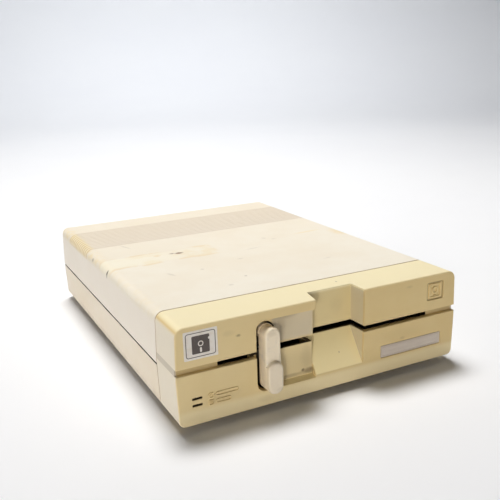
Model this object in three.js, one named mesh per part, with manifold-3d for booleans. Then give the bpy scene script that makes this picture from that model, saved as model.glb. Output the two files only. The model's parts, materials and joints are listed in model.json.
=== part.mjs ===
// External floppy disk drive for 5.25 inch disks, in millimetres, +Z up, front towards -Y.
// Inside the unit group y runs back from the bezel's front plane and z up from the case bottom.
import * as THREE from 'three';
import { mergeVertices } from 'three/addons/utils/BufferGeometryUtils.js';
import Module from 'manifold-3d';

const wasm = await Module();
wasm.setup();

// Case as a whole
const caseWidth = 184;
const caseDepth = 252;
const caseHeight = 55;
const partingHeight = 25.9;
const sideDraft = 0.8;
const wall = 2.5;
const longEdgeRadius = 5;
const baseEdgeRadius = 3.5;
const rearEdgeRadius = 5;
const seamWidth = 0.6;
const seamDepth = 0.9;
const overrun = 1;
const fitGap = 0.3;
const cornerSteps = 5;
const roundSides = 24;
const boreSides = 12;

// Ribbed band across the rear of the top
const ribStart = 172;
const ribCount = 13;
const ribPitch = 4;
const ribGroove = 1.8;
const ribDepth = 0.9;

// Front bezel
const bezelDepth = 28.4;
const bezelFace = 3.2;
const frontEdgeRadius = 0.7;
const tubWall = 2.2;
const tongueWidth = 20;
const tongueReach = 7;
const tongueRoot = 6;
const tongueThick = 2;
const tongueOffset = 50;

// Disk slot and the groove that carries it on to both sides
const slotWidth = 138.3;
const slotLow = 29.2;
const slotHeight = 3.5;
const grooveDepth = 2.5;
const lipChamfer = 0.8;

// Finger notch and its ramp
const notchLeft = -8.9;
const notchRight = 24;
const notchBackLeft = -6.3;
const notchBackRight = 23.5;
const notchDepth = 13;
const rampLeft = -8.5;
const rampRight = 23.6;
const rampFoot = 9.5;

// Lever recess and the pocket that the resting lever lies in
const recessLeft = -45.7;
const recessLow = 8.8;
const recessHigh = 49.5;
const recessDepth = 4.5;
const recessRadius = 5;
const pocketGap = 1.15;
const pocketDepth = 5;

// Disk lever: a bar with a raised knob at its free end
const leverX = -38.1;
const leverTop = 46.05;
const leverLow = 9.1;
const leverHalfWidth = 4.65;
const barBack = 3.6;
const barStand = 4.6;
const knobHeight = 18.6;
const knobStand = 3.1;
const leverBevel = 1;
const leverHubDepth = 4.4;
const leverShaftRadius = 1.6;

// Lamps, badge plate and emblem recess
const lampInset = 8.3;
const lampWidth = 5.7;
const lampHeight = 1;
const powerLampZ = 14.85;
const driveLampZ = 11.1;
const lampBodyHeight = 3;
const lampBodyDepth = 5;
const badgeInset = 10.6;
const badgeWidth = 45.2;
const badgeLow = 9.6;
const badgeHeight = 7.8;
const badgeRecess = 0.8;
const badgeThick = 0.7;
const badgeCorner = 0.8;
const emblemInset = 22.1;
const emblemLow = 39;
const emblemWidth = 12.6;
const emblemHeight = 11.3;
const emblemCorner = 1;

// Case screws in their bosses
const bossSideInset = 11;
const bossFrontY = 36.4;
const bossRearInset = 14;
const bossRadius = 4.2;
const screwHeadRadius = 2.9;
const screwHeadHeight = 2.1;
const screwRadius = 1.5;
const screwSeat = 8;
const screwBite = 10;
const screwSlotWidth = 0.8;
const screwSlotDepth = 0.9;

// Rubber feet
const footHeight = 4;
const footRadius = 7.5;
const footTaper = 0.6;
const footSeat = 0.8;
const footSideInset = 18;
const footFrontY = 50;
const footRearInset = 34;

// Base tray: standoffs with pegs, pillars for the drive, floor vents
const standoffHeight = 3;
const standoffRadius = 3;
const pegRadius = 1.1;
const pegReach = 0.8;
const pillarInset = 7;
const pillarFrontY = 70;
const pillarRearY = 185;
const pillarRadius = 5;
const driveScrewSeat = 9;
const driveScrewBite = 5;
const ventCount = 14;
const ventPitch = 6;
const ventWidth = 2.4;
const ventLength = 30;
const ventStartY = 125;

// Drive chassis
const chassisLow = 20;
const chassisFloor = 2.5;
const chassisSideGap = 19;
const chassisFrontY = 18;
const chassisWall = 3;
const chassisWallTop = 46;
const rearWallOffset = 118;
const rearWallThick = 4;
const railRibOffset = 19;
const railRibThick = 4;
const railRibHeight = 6;
const guideReach = 6;
const guideThick = 1.5;
const guideLength = 83;
const guideStart = 4;
const diskThick = 1.6;
const diskPlay = 0.2;
const headOpening = 28;
const headOpeningStart = 27;
const headOpeningLength = 85;
const bracketOffset = 6;
const bracketThick = 3;
const bracketRise = 3.6;
const bracketPast = 10;
const chassisBossRadius = 4.5;
const chassisBossHeight = 5;

// Spindle
const spindleY = 77;
const spindleShaftRadius = 4;
const rotorRadius = 32;
const rotorHeight = 4.7;
const rotorWeb = 1.8;
const rotorRim = 2.5;
const rotorClearance = 0.6;
const motorBoardWidth = 76;
const motorBoardThick = 1.2;
const motorBoardCorner = 4;
const bearingRadius = 10;
const bearingFlangeRadius = 14;
const bearingFlange = 1.8;
const hubRadius = 17;
const hubFootRadius = 8;
const hubHeight = 5;
const hubRim = 1.9;
const hubRecess = 3.4;
const hubRecessRadius = 12.9;
const hubDrop = 1.05;

// Clamp arm, its hinge and the clamp hub
const clampHingeOffset = 80;
const clampHingeZ = 45;
const clampPinRadius = 1.5;
const clampTurnDegrees = 2.1;
const clampPlateThick = 1.4;
const clampHalfWidth = 33;
const clampPlateFront = 30;
const clampPlateRear = 22;
const clampPlateTaper = 14;
const clampEarHalfWidth = 6;
const clampEarDepth = 12;
const clampLimbThick = 1.6;
const clampLimbHeight = 8;
const clampLugRadius = 3.5;
const clampLimbRise = 18;
const postThick = 4;
const postGap = 4;
const postDepth = 8;
const postTop = 2.5;
const clampConeDepth = 1;
const clampConeFoot = 10.6;
const clampConeTop = 11.6;
const clampFlangeRadius = 15;
const clampFlangeGap = 0.6;
const clampFlangeThick = 1.7;
const clampStemRadius = 3;
const clampCapRadius = 6;
const clampCapThick = 1.2;

// Cam on the lever shaft
const camThick = 4;
const camGap = 0.45;
const camSteps = 8;

// Head carriage on its rails
const headOffset = 57;
const carriageHalfWidth = 16;
const carriageAhead = 9;
const carriageBehind = 44;
const carriageHeight = 5.3;
const carriageClearance = 0.8;
const railRadius = 1.5;
const railX = 12;
const lowerHeadWidth = 6;
const lowerHeadLength = 8;
const headArmRise = 3.5;
const headArmThick = 2;
const headArmHalfWidth = 6.5;
const headArmTip = 6;
const headHingeOffset = 38;
const headHingeRise = 2.5;
const headPinRadius = 1;
const headEarThick = 2.2;
const headEarRadius = 2.4;
const headPostGap = 0.6;
const headPostHalfDepth = 5;
const padWidth = 5;
const padClearance = 0.35;
const nutOffset = 20;
const nutLength = 10;
const nutWidth = 10;

// Stepping motor and lead screw
const leadScrewX = 22;
const leadScrewRadius = 2;
const stepperRadius = 12;
const stepperLength = 16;
const stepperFlange = 1.6;
const stepperFlangeWidth = 30;
const stepperFlangeHeight = 20;

// Sensors on the chassis floor
const writeSensorOffset = 32;
const writeSensorLength = 10;
const writeSensorReach = 8.7;
const writeSensorHeight = 13.5;
const writeSensorJaw = 5.5;
const indexSensorX = 25.5;
const indexSensorOffset = -14;
const indexSensorWidth = 7;
const indexSensorLength = 8;
const indexSensorHeight = 6;
const trackSensorX = -24;
const trackSensorOffset = 104;
const trackSensorWidth = 8;
const trackSensorLength = 8;
const trackSensorHeight = 6.5;
const trackSensorGap = 2.4;

// Drive board on top of the chassis, and the ribbon cable down to the controller board
const boardThick = 1.6;
const driveBoardOffset = 90;
const driveBoardLength = 31.5;
const driveBoardInset = 1;
const plugX = -37.5;
const plugWidth = 25;
const plugLength = 6;
const drivePlugHeight = 4;
const drivePlugInset = 2.5;
const boardPlugHeight = 6.9;
const ribbonThick = 0.9;
const ribbonInset = 1.5;
const ribbonLead = 20;
const ribbonBend = 6;

// Controller board and its chips
const boardLeft = -60;
const boardRightMargin = 12;
const boardFrontY = 100;
const boardRearGap = 1;
const standoffInsetX = 4;
const standoffFrontInset = 8;
const standoffRearInset = 21;
const chipWidth = 13.7;
const chipHeight = 4;
const chipLong = 51;
const chipShort = 36;
const chipDraft = 0.8;
const chipLift = 0.5;
const chipLegThick = 0.5;
const chipNotchRadius = 1.2;
const chipNotchDepth = 0.7;
const chipColumnX = -22;
const chipSecondX = 26;
const chipFirstY = 118;
const chipPitch = 22;

// Round sockets at the back
const socketRadius = 7.7;
const socketBlockWidth = 18;
const socketBlockDepth = 13;
const socketBlockHeight = 17;
const socketAxisHeight = 8.6;
const socketRingOuter = 6.9;
const socketRingInner = 6.2;
const socketRingDepth = 7;
const socketKeyWidth = 2;
const socketPinRadius = 0.75;
const socketPinDepth = 5;
const serialPinCircle = 3.8;
const powerPinCircle = 3.2;
const serialPinCount = 6;
const powerPinCount = 4;
const serialLeftX = -50;
const serialRightX = -28;
const powerSocketOffset = 26;

// Power switch at the back
const switchInset = 28;
const switchZ = 14.2;
const switchHalfWidth = 7.5;
const switchHalfHeight = 9;
const switchDepth = 16;
const rockerPivotDepth = 4;
const rockerHalfWidth = 5;
const rockerHalfHeight = 6.6;
const rockerCrown = 1.2;
const rockerDip = 0.4;
const rockerBack = 2.5;
const rockerBackHalf = 3;
const rockerTiltDegrees = 8;
const rockerCavityHalf = 7.6;
const rockerCavityDepth = 8.2;
const trunnionRadius = 1;
const trunnionReach = 1.8;

// Address selector at the back
const selectorX = 5;
const selectorWidth = 9;
const selectorDepth = 7;
const selectorHeight = 7;
const selectorSlotOffset = 2;
const selectorSlotWidth = 1.8;
const selectorSlotHeight = 4.6;
const selectorSlotDepth = 3;
const selectorSlotRise = 1.2;
const selectorLeverHeight = 2;
const selectorLeverStand = 0.8;
const selectorWindowMargin = 0.4;

// Places that follow from the sizes
const radian = Math.PI / 180;
const leverReach = barStand + knobStand;
const rockerCorner = Math.hypot(rockerHalfHeight, rockerPivotDepth + rockerCrown);
const rockerCornerAngle = Math.atan2(rockerHalfHeight, rockerPivotDepth + rockerCrown);
const rockerLean = rockerCornerAngle - rockerTiltDegrees * radian;
const rockerReach = rockerCorner * Math.cos(rockerLean) - rockerPivotDepth;
const totalDepth = leverReach + caseDepth + rockerReach;
const halfWidth = caseWidth / 2;
const lampLeft = lampInset - halfWidth;
const badgeLeft = halfWidth - badgeInset - badgeWidth;
const emblemLeft = halfWidth - emblemInset;
const bossX = halfWidth - bossSideInset;
const footX = halfWidth - footSideInset;
const chassisHalfWidth = halfWidth - chassisSideGap;
const pillarX = chassisHalfWidth - pillarInset;
const switchX = halfWidth - switchInset;
const powerSocketX = switchX - powerSocketOffset;
const boardRight = powerSocketX + boardRightMargin;
const slotHigh = slotLow + slotHeight;
const diskZ = slotLow + slotHeight / 2;
const pivotZ = leverTop - leverHalfWidth;
const rearInnerY = caseDepth - wall;
const boardLow = wall + standoffHeight;
const boardTop = boardLow + boardThick;
const boardRearY = rearInnerY - boardRearGap;
const chassisTop = chassisLow + chassisFloor;
const chassisRearY = spindleY + rearWallOffset + rearWallThick;
const motorBoardLow = chassisLow - motorBoardThick;
const rotorLow = motorBoardLow - rotorClearance - rotorHeight;
const hubTop = diskZ - hubDrop;
const hubLow = hubTop - hubHeight;
const clampFlangeLow = hubTop + clampFlangeGap;
const clampPlateLow = clampFlangeLow + clampFlangeThick + fitGap;
const clampPlateTop = clampPlateLow + clampPlateThick;
const clampHingeY = spindleY + clampHingeOffset;
const camY = spindleY - clampPlateFront - clampEarDepth + camThick;
const carriageLow = chassisTop + carriageClearance;
const carriageTop = carriageLow + carriageHeight;
const railZ = carriageLow + carriageHeight / 2;
const headY = spindleY + headOffset;
const headArmLow = diskZ + headArmRise;
const headHingeY = headY + headHingeOffset;
const headHingeZ = headArmLow + headHingeRise;
const driveBoardTop = chassisWallTop + boardThick;
const footPlaces = { front: footFrontY, rear: caseDepth - footRearInset };
const bossPlaces = { front: bossFrontY, rear: caseDepth - bossRearInset };
const pillarPlaces = { front: pillarFrontY, rear: pillarRearY };
const sides = { left: -1, right: 1 };

const cream = new THREE.MeshStandardMaterial({ color: 0xefe7d4, roughness: 0.62, metalness: 0 });
const creamSide = new THREE.MeshStandardMaterial({ color: 0xe2d8c6, roughness: 0.65, metalness: 0 });
const agedTan = new THREE.MeshStandardMaterial({ color: 0xc8b486, roughness: 0.6, metalness: 0 });
const paleGrey = new THREE.MeshStandardMaterial({ color: 0xd0c5b0, roughness: 0.5, metalness: 0 });
const badgeGrey = new THREE.MeshStandardMaterial({ color: 0xaca096, roughness: 0.45, metalness: 0.2 });
const rubber = new THREE.MeshStandardMaterial({ color: 0x2b2a29, roughness: 0.9, metalness: 0 });
const steel = new THREE.MeshStandardMaterial({ color: 0xb5b8bb, roughness: 0.35, metalness: 0.9 });
const castAlloy = new THREE.MeshStandardMaterial({ color: 0xa9abad, roughness: 0.5, metalness: 0.8 });
const boardGreen = new THREE.MeshStandardMaterial({ color: 0x2f6b42, roughness: 0.55, metalness: 0 });
const black = new THREE.MeshStandardMaterial({ color: 0x1d1d1f, roughness: 0.5, metalness: 0 });
const redLamp = new THREE.MeshStandardMaterial({ color: 0x8a2a20, roughness: 0.3, metalness: 0 });
const greenLamp = new THREE.MeshStandardMaterial({ color: 0x3d6b35, roughness: 0.3, metalness: 0 });
const nylon = new THREE.MeshStandardMaterial({ color: 0xe8e6df, roughness: 0.5, metalness: 0 });
const ribbonGrey = new THREE.MeshStandardMaterial({ color: 0xb9bcc0, roughness: 0.7, metalness: 0 });

// Outlines are lists of Vector2: (x, y) along z, (x, z) along y and (y, z) along x
const sideways = {
  x: new THREE.Matrix4().makeBasis(
    new THREE.Vector3(0, 1, 0), new THREE.Vector3(0, 0, 1), new THREE.Vector3(1, 0, 0)),
  y: new THREE.Matrix4().makeBasis(
    new THREE.Vector3(1, 0, 0), new THREE.Vector3(0, 0, 1), new THREE.Vector3(0, -1, 0)),
  z: new THREE.Matrix4(),
};

// A closed three.js geometry as a solid that can be joined and cut
function solid(geometry) {
  geometry.deleteAttribute('uv');
  geometry.deleteAttribute('normal');
  const welded = mergeVertices(geometry);
  const corners = welded.index.array;
  const triangles = [];
  for (let i = 0; i < corners.length; i += 3) {
    const [a, b, c] = corners.slice(i, i + 3);
    if (a !== b && b !== c && c !== a) {
      triangles.push(a, b, c);
    }
  }
  return new wasm.Manifold(new wasm.Mesh({
    numProp: 3,
    vertProperties: new Float32Array(welded.attributes.position.array),
    triVerts: new Uint32Array(triangles),
  }));
}

function join(...solids) {
  return solids.reduce((whole, next) => whole.add(next));
}

function cut(body, ...tools) {
  return tools.reduce((rest, tool) => rest.subtract(tool), body);
}

function box([x0, x1], [y0, y1], [z0, z1]) {
  const geometry = new THREE.BoxGeometry(x1 - x0, y1 - y0, z1 - z0);
  geometry.translate((x0 + x1) / 2, (y0 + y1) / 2, (z0 + z1) / 2);
  return solid(geometry);
}

// A straight extrusion of an outline, with both ends bevelled when a bevel is given
function prism(outline, axis, from, to, bevel = 0) {
  const geometry = new THREE.ExtrudeGeometry(new THREE.Shape(outline), {
    depth: to - from - 2 * bevel,
    bevelEnabled: bevel > 0,
    bevelThickness: bevel,
    bevelSize: bevel,
    bevelOffset: -bevel,
    bevelSegments: 2,
  });
  geometry.translate(0, 0, bevel + (axis === 'y' ? -to : from));
  geometry.applyMatrix4(sideways[axis]);
  return solid(geometry);
}

// An outline whose corners are [u, v] or [u, v, radius], counter-clockwise
function rounded(corners, steps = cornerSteps) {
  const points = [];
  corners.forEach(([u, v, radius = 0], index) => {
    const here = new THREE.Vector2(u, v);
    if (radius <= 0) {
      points.push(here);
      return;
    }
    const before = new THREE.Vector2(...corners.at(index - 1)).sub(here).normalize();
    const after = new THREE.Vector2(...corners[(index + 1) % corners.length]).sub(here).normalize();
    const halfAngle = Math.acos(before.dot(after)) / 2;
    const turn = Math.sign(after.cross(before)) * (Math.PI - 2 * halfAngle);
    const towards = before.clone().add(after).normalize();
    const centre = towards.multiplyScalar(radius / Math.sin(halfAngle)).add(here);
    const start = before.multiplyScalar(radius / Math.tan(halfAngle)).add(here);
    for (let step = 0; step <= steps; step += 1) {
      points.push(start.clone().rotateAround(centre, (turn * step) / steps));
    }
  });
  return points;
}

function rectangle(u0, u1, v0, v1, radius = 0) {
  return rounded([[u0, v0, radius], [u1, v0, radius], [u1, v1, radius], [u0, v1, radius]]);
}

function circle(u, v, radius, count = roundSides) {
  const points = [];
  for (let step = 0; step < count; step += 1) {
    const angle = (2 * Math.PI * step) / count;
    points.push(new THREE.Vector2(u + radius * Math.cos(angle), v + radius * Math.sin(angle)));
  }
  return points;
}

function rod(axis, u, v, from, to, radius, count = roundSides) {
  return prism(circle(u, v, radius, count), axis, from, to);
}

// A solid of revolution about z from a profile of [radius, height]
function turned(profile, count = roundSides) {
  const points = profile.map(([radius, height]) => new THREE.Vector2(radius, height));
  const geometry = new THREE.LatheGeometry(points, count);
  geometry.applyMatrix4(new THREE.Matrix4().makeRotationX(Math.PI / 2));
  return solid(geometry);
}

// A straight slot with round ends, upright in the x-z plane
function stadium(x, low, high, radius) {
  return rounded([
    [x - radius, low, radius], [x + radius, low, radius],
    [x + radius, high, radius], [x - radius, high, radius],
  ], 8);
}

const unit = new THREE.Group();

function place(name, body, material, [x, y, z] = [0, 0, 0], parent = unit) {
  const { vertProperties, triVerts } = body.getMesh();
  const geometry = new THREE.BufferGeometry();
  geometry.setAttribute('position', new THREE.BufferAttribute(new Float32Array(vertProperties), 3));
  geometry.setIndex(new THREE.BufferAttribute(new Uint32Array(triVerts), 1));
  geometry.computeVertexNormals();
  const mesh = new THREE.Mesh(geometry, material);
  mesh.name = name;
  mesh.position.set(x, y, z);
  parent.add(mesh);
  return mesh;
}

// Section of the case across its width, set in by an inset
function caseSection(inset) {
  const half = caseWidth / 2 - inset;
  const leaning = half - sideDraft;
  const low = inset;
  const high = caseHeight - inset;
  return rounded([
    [-leaning, low, baseEdgeRadius - inset], [leaning, low, baseEdgeRadius - inset],
    [half, partingHeight],
    [leaning, high, longEdgeRadius - inset], [-leaning, high, longEdgeRadius - inset],
    [-half, partingHeight],
  ]);
}

function casePlan(inset, startY) {
  const half = caseWidth / 2 - inset;
  const rear = caseDepth - inset;
  return rounded([
    [-half, startY], [half, startY],
    [half, rear, rearEdgeRadius - inset], [-half, rear, rearEdgeRadius - inset],
  ]);
}

// The whole body behind the bezel, rounded at its rear
function caseBody(inset, startY) {
  const rear = caseDepth - inset;
  const section = prism(caseSection(inset), 'y', startY, rear);
  const profile = rounded([
    [startY, inset], [rear, inset, baseEdgeRadius - inset],
    [rear, caseHeight - inset, rearEdgeRadius - inset], [startY, caseHeight - inset],
  ]);
  const sideView = prism(profile, 'x', -caseWidth, caseWidth);
  const planView = prism(casePlan(inset, startY), 'z', inset, caseHeight - inset);
  return section.intersect(sideView).intersect(planView);
}

function caseShell() {
  return caseBody(0, bezelDepth).subtract(caseBody(wall, bezelDepth - overrun));
}

function slab(low, high) {
  return box([-caseWidth, caseWidth], [-caseDepth, 2 * caseDepth], [low, high]);
}

// Shadow line round the front edge of cover and base
function frontSeam() {
  const around = slab(-overrun, caseHeight + overrun)
    .intersect(box([-caseWidth, caseWidth], [bezelDepth - overrun, bezelDepth + seamWidth],
      [-overrun, caseHeight + overrun]));
  return around.subtract(prism(caseSection(seamDepth), 'y', bezelDepth - 2 * overrun,
    bezelDepth + seamWidth + overrun));
}

function forCorners(places, offset, make) {
  for (const [end, y] of Object.entries(places)) {
    for (const [side, sign] of Object.entries(sides)) {
      make(sign * offset, y, `${end}_${side}`);
    }
  }
}

function makeTopCover() {
  let cover = caseShell().intersect(slab(partingHeight, caseHeight + overrun));
  const bossTop = caseHeight - wall / 2;
  forCorners(bossPlaces, bossX, (x, y) => {
    cover = cover.add(rod('z', x, y, partingHeight, bossTop, bossRadius));
  });
  forCorners(bossPlaces, bossX, (x, y) => {
    const pilotTop = partingHeight + screwBite + fitGap;
    cover = cover.subtract(rod('z', x, y, partingHeight - overrun, pilotTop, screwRadius + fitGap));
  });
  const grooves = [];
  for (let i = 0; i < ribCount; i += 1) {
    const y = ribStart + i * ribPitch;
    grooves.push(box([-caseWidth, caseWidth], [y, y + ribGroove],
      [caseHeight - longEdgeRadius, caseHeight + overrun]));
  }
  const ribTool = join(...grooves).subtract(caseBody(ribDepth, bezelDepth));
  return cut(cover, ribTool, frontSeam());
}

function bayHoles() {
  const rearSpan = [rearInnerY - overrun, caseDepth + overrun];
  const axisZ = boardTop + socketAxisHeight;
  const round = [serialLeftX, serialRightX, powerSocketX].map((x) => rod('y', x, axisZ,
    ...rearSpan, socketRadius + fitGap));
  const switchHole = box(
    [switchX - switchHalfWidth - fitGap, switchX + switchHalfWidth + fitGap], rearSpan,
    [switchZ - switchHalfHeight - fitGap, switchZ + switchHalfHeight + fitGap]);
  const windowHalf = selectorWidth / 2 - selectorWindowMargin;
  const windowLow = boardTop + selectorSlotRise - selectorWindowMargin;
  const selectorHole = box([selectorX - windowHalf, selectorX + windowHalf], rearSpan,
    [windowLow, windowLow + selectorSlotHeight + 2 * selectorWindowMargin]);
  return join(...round, switchHole, selectorHole);
}

function standoffPlaces() {
  const xs = [boardLeft + standoffInsetX, boardRight - standoffInsetX];
  const ys = [boardFrontY + standoffFrontInset, boardRearY - standoffRearInset];
  return xs.flatMap((x) => ys.map((y) => [x, y]));
}

function makeBaseTray() {
  let base = caseShell().intersect(slab(-overrun, partingHeight));
  const floorMid = wall / 2;
  forCorners(bossPlaces, bossX, (x, y) => {
    base = base.add(rod('z', x, y, floorMid, partingHeight, bossRadius));
  });
  forCorners(pillarPlaces, pillarX, (x, y) => {
    base = base.add(rod('z', x, y, floorMid, chassisLow, pillarRadius));
  });
  for (const [x, y] of standoffPlaces()) {
    const pegTop = boardTop + pegReach;
    base = join(base, rod('z', x, y, floorMid, boardLow, standoffRadius, boreSides),
      rod('z', x, y, floorMid, pegTop, pegRadius, boreSides));
  }
  const headWay = screwHeadRadius + fitGap;
  const shankWay = screwRadius + fitGap;
  forCorners(bossPlaces, bossX, (x, y) => {
    base = cut(base, rod('z', x, y, -overrun, screwSeat, headWay),
      rod('z', x, y, -overrun, partingHeight + overrun, shankWay));
  });
  forCorners(pillarPlaces, pillarX, (x, y) => {
    base = cut(base, rod('z', x, y, -overrun, driveScrewSeat, headWay),
      rod('z', x, y, -overrun, chassisLow + overrun, shankWay));
  });
  forCorners(footPlaces, footX, (x, y) => {
    base = base.subtract(rod('z', x, y, -overrun, footSeat, footRadius + fitGap));
  });
  for (let i = 0; i < ventCount; i += 1) {
    const x = (i - (ventCount - 1) / 2) * ventPitch;
    base = base.subtract(prism(rectangle(x - ventWidth / 2, x + ventWidth / 2, ventStartY,
      ventStartY + ventLength), 'z', -overrun, wall + overrun));
  }
  const partingSeam = slab(partingHeight - seamWidth, partingHeight + overrun)
    .subtract(prism(casePlan(seamDepth, -caseDepth), 'z', 0, caseHeight));
  return cut(base, bayHoles(), frontSeam(), partingSeam);
}

// Notch: tapered walls above the slot, a ramp between parallel walls below it
function notchSpace() {
  const slope = (slotLow - rampFoot) / notchDepth;
  const upper = prism([
    new THREE.Vector2(notchLeft, 0), new THREE.Vector2(notchLeft, -overrun),
    new THREE.Vector2(notchRight, -overrun), new THREE.Vector2(notchRight, 0),
    new THREE.Vector2(notchBackRight, notchDepth), new THREE.Vector2(notchBackLeft, notchDepth),
  ], 'z', slotLow, caseHeight + overrun);
  const lower = prism([
    new THREE.Vector2(-overrun, rampFoot - slope * overrun),
    new THREE.Vector2(notchDepth, slotLow),
    new THREE.Vector2(notchDepth, slotHigh),
    new THREE.Vector2(-overrun, slotHigh),
  ], 'x', rampLeft, rampRight);
  return upper.add(lower);
}

function notchTub() {
  const back = notchDepth + tubWall;
  const outline = [
    new THREE.Vector2(0, rampFoot - tubWall), new THREE.Vector2(back, slotLow - tubWall),
    new THREE.Vector2(back, caseHeight), new THREE.Vector2(0, caseHeight),
  ];
  return prism(outline, 'x', notchLeft - tubWall, notchRight + tubWall);
}

function recessSpace() {
  const outline = rounded([
    [recessLeft, recessLow, recessRadius], [rampLeft, recessLow],
    [rampLeft, recessHigh], [recessLeft, recessHigh, recessRadius],
  ]);
  const pocketRadius = leverHalfWidth + pocketGap;
  const pocket = stadium(leverX, leverTop - leverHalfWidth - pocketRadius - (pivotZ - leverLow)
    + leverHalfWidth, pivotZ + pocketRadius, pocketRadius);
  const intoNotch = box([rampLeft - overrun, notchBackLeft], [-overrun, recessDepth],
    [slotLow, recessHigh]);
  return join(prism(outline, 'y', -overrun, recessDepth), intoNotch,
    prism(pocket, 'y', recessDepth - overrun, recessDepth + pocketDepth),
    rod('y', leverX, pivotZ, recessDepth, bezelDepth, leverShaftRadius + fitGap, boreSides));
}

function recessTub() {
  const block = box([recessLeft - tubWall, rampLeft], [0, recessDepth + tubWall],
    [recessLow - tubWall, recessHigh + tubWall]);
  const radius = leverHalfWidth + pocketGap + tubWall;
  const pocket = prism(stadium(leverX, leverLow - pocketGap - tubWall, pivotZ + radius, radius),
    'y', 0, recessDepth + pocketDepth + tubWall);
  return block.add(pocket);
}

function slotSpace() {
  const halfSlot = slotWidth / 2;
  const through = box([-halfSlot, halfSlot], [-overrun, bezelDepth + overrun], [slotLow, slotHigh]);
  const groove = prism([
    new THREE.Vector2(-overrun, slotLow - lipChamfer), new THREE.Vector2(0, slotLow - lipChamfer),
    new THREE.Vector2(lipChamfer, slotLow), new THREE.Vector2(grooveDepth, slotLow),
    new THREE.Vector2(grooveDepth, slotHigh), new THREE.Vector2(-overrun, slotHigh),
  ], 'x', -caseWidth, caseWidth);
  return through.add(groove);
}

function lampWindow(z) {
  return box([lampLeft, lampLeft + lampWidth], [-overrun, bezelFace + overrun],
    [z - lampHeight / 2, z + lampHeight / 2]);
}

function bezelTongues() {
  const tongues = [];
  const back = bezelDepth + tongueReach;
  for (const sign of Object.values(sides)) {
    const span = [sign * tongueOffset - tongueWidth / 2, sign * tongueOffset + tongueWidth / 2];
    const topFace = caseHeight - wall;
    const floorFace = wall;
    tongues.push(
      box(span, [bezelDepth - tongueRoot, back],
        [topFace - fitGap - tongueThick, topFace - fitGap]),
      box(span, [bezelDepth - tongueRoot, bezelDepth], [topFace - tongueThick, topFace + wall / 2]),
      box(span, [bezelDepth - tongueRoot, back],
        [floorFace + fitGap, floorFace + fitGap + tongueThick]),
      box(span, [bezelDepth - tongueRoot, bezelDepth], [wall / 2, floorFace + tongueThick]),
    );
  }
  return join(...tongues);
}

function makeFrontBezel() {
  const soften = (low, high) => rounded([
    [low, 0, frontEdgeRadius], [high, 0, frontEdgeRadius], [high, bezelDepth], [low, bezelDepth],
  ], 2);
  const half = caseWidth / 2;
  const profile = soften(0, caseHeight).map((point) => new THREE.Vector2(point.y, point.x)).reverse();
  const outer = prism(caseSection(0), 'y', 0, bezelDepth)
    .intersect(prism(soften(-half, half), 'z', 0, caseHeight))
    .intersect(prism(profile, 'x', -caseWidth, caseWidth));
  const tubs = notchTub().add(recessTub()).intersect(outer);
  const hollow = prism(caseSection(wall), 'y', bezelFace, bezelDepth + overrun).subtract(tubs);
  const badge = prism(rectangle(badgeLeft, badgeLeft + badgeWidth, badgeLow, badgeLow + badgeHeight,
    badgeCorner), 'y', -overrun, badgeRecess);
  const emblem = prism(rectangle(emblemLeft, emblemLeft + emblemWidth, emblemLow,
    emblemLow + emblemHeight, emblemCorner), 'y', -overrun, badgeRecess);
  return cut(outer.subtract(hollow).add(bezelTongues()), notchSpace(), recessSpace(), slotSpace(),
    lampWindow(powerLampZ), lampWindow(driveLampZ), badge, emblem);
}

function makeFoot() {
  return turned([
    [0, -footHeight], [footRadius - 2 * footTaper, -footHeight],
    [footRadius - footTaper, footTaper - footHeight], [footRadius, footSeat], [0, footSeat],
  ]);
}

function makeScrew(shank) {
  const body = turned([
    [0, -screwHeadHeight], [screwHeadRadius - screwSlotDepth / 2, -screwHeadHeight],
    [screwHeadRadius, -screwHeadHeight / 2], [screwHeadRadius, 0], [screwRadius, 0],
    [screwRadius, shank - screwRadius], [0, shank],
  ], boreSides);
  const slotSpan = [-screwHeadRadius - overrun, screwHeadRadius + overrun];
  const halfSlot = screwSlotWidth / 2;
  const depth = [-screwHeadHeight - overrun, screwSlotDepth - screwHeadHeight];
  return cut(body, box(slotSpan, [-halfSlot, halfSlot], depth),
    box([-halfSlot, halfSlot], slotSpan, depth));
}

function makeLever() {
  const half = leverHalfWidth;
  const bar = prism(stadium(leverX, leverLow, leverTop, half), 'y', -barStand,
    barBack + leverBevel, leverBevel)
    .intersect(box([leverX - 2 * half, leverX + 2 * half], [-barStand, barBack], [0, caseHeight]));
  const knob = prism(stadium(leverX, leverLow, leverLow + knobHeight, half), 'y', -leverReach,
    leverBevel, leverBevel);
  const hub = rod('y', leverX, pivotZ, 0, barBack + leverHubDepth, half);
  return join(bar, knob, hub);
}

function makeLeverShaft() {
  return rod('y', leverX, pivotZ, barBack + leverHubDepth, camY + camThick / 2 + overrun,
    leverShaftRadius, boreSides);
}

// Cam for a flat follower: the distance to its tangent line falls evenly over a quarter turn
function makeClampCam() {
  const largest = pivotZ - clampPlateTop - camGap;
  const reach = clampHingeY - camY;
  const lift = reach * Math.sin(clampTurnDegrees * radian);
  const slope = lift / (Math.PI / 2);
  const smallest = largest - lift;
  const points = [];
  for (let step = 0; step <= camSteps; step += 1) {
    const angle = (Math.PI / 2) * (step / camSteps);
    const height = largest - slope * angle;
    points.push(new THREE.Vector2(
      leverX - height * Math.sin(angle) + slope * Math.cos(angle),
      pivotZ - height * Math.cos(angle) - slope * Math.sin(angle),
    ));
  }
  for (let step = 0; step <= camSteps; step += 1) {
    const angle = Math.PI - Math.PI * (step / camSteps);
    points.push(new THREE.Vector2(
      leverX + smallest * Math.cos(angle),
      pivotZ + smallest * Math.sin(angle),
    ));
  }
  return cut(prism(points, 'y', camY - camThick / 2, camY + camThick / 2),
    rod('y', leverX, pivotZ, camY - camThick, camY + camThick, leverShaftRadius + fitGap, boreSides));
}

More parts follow.
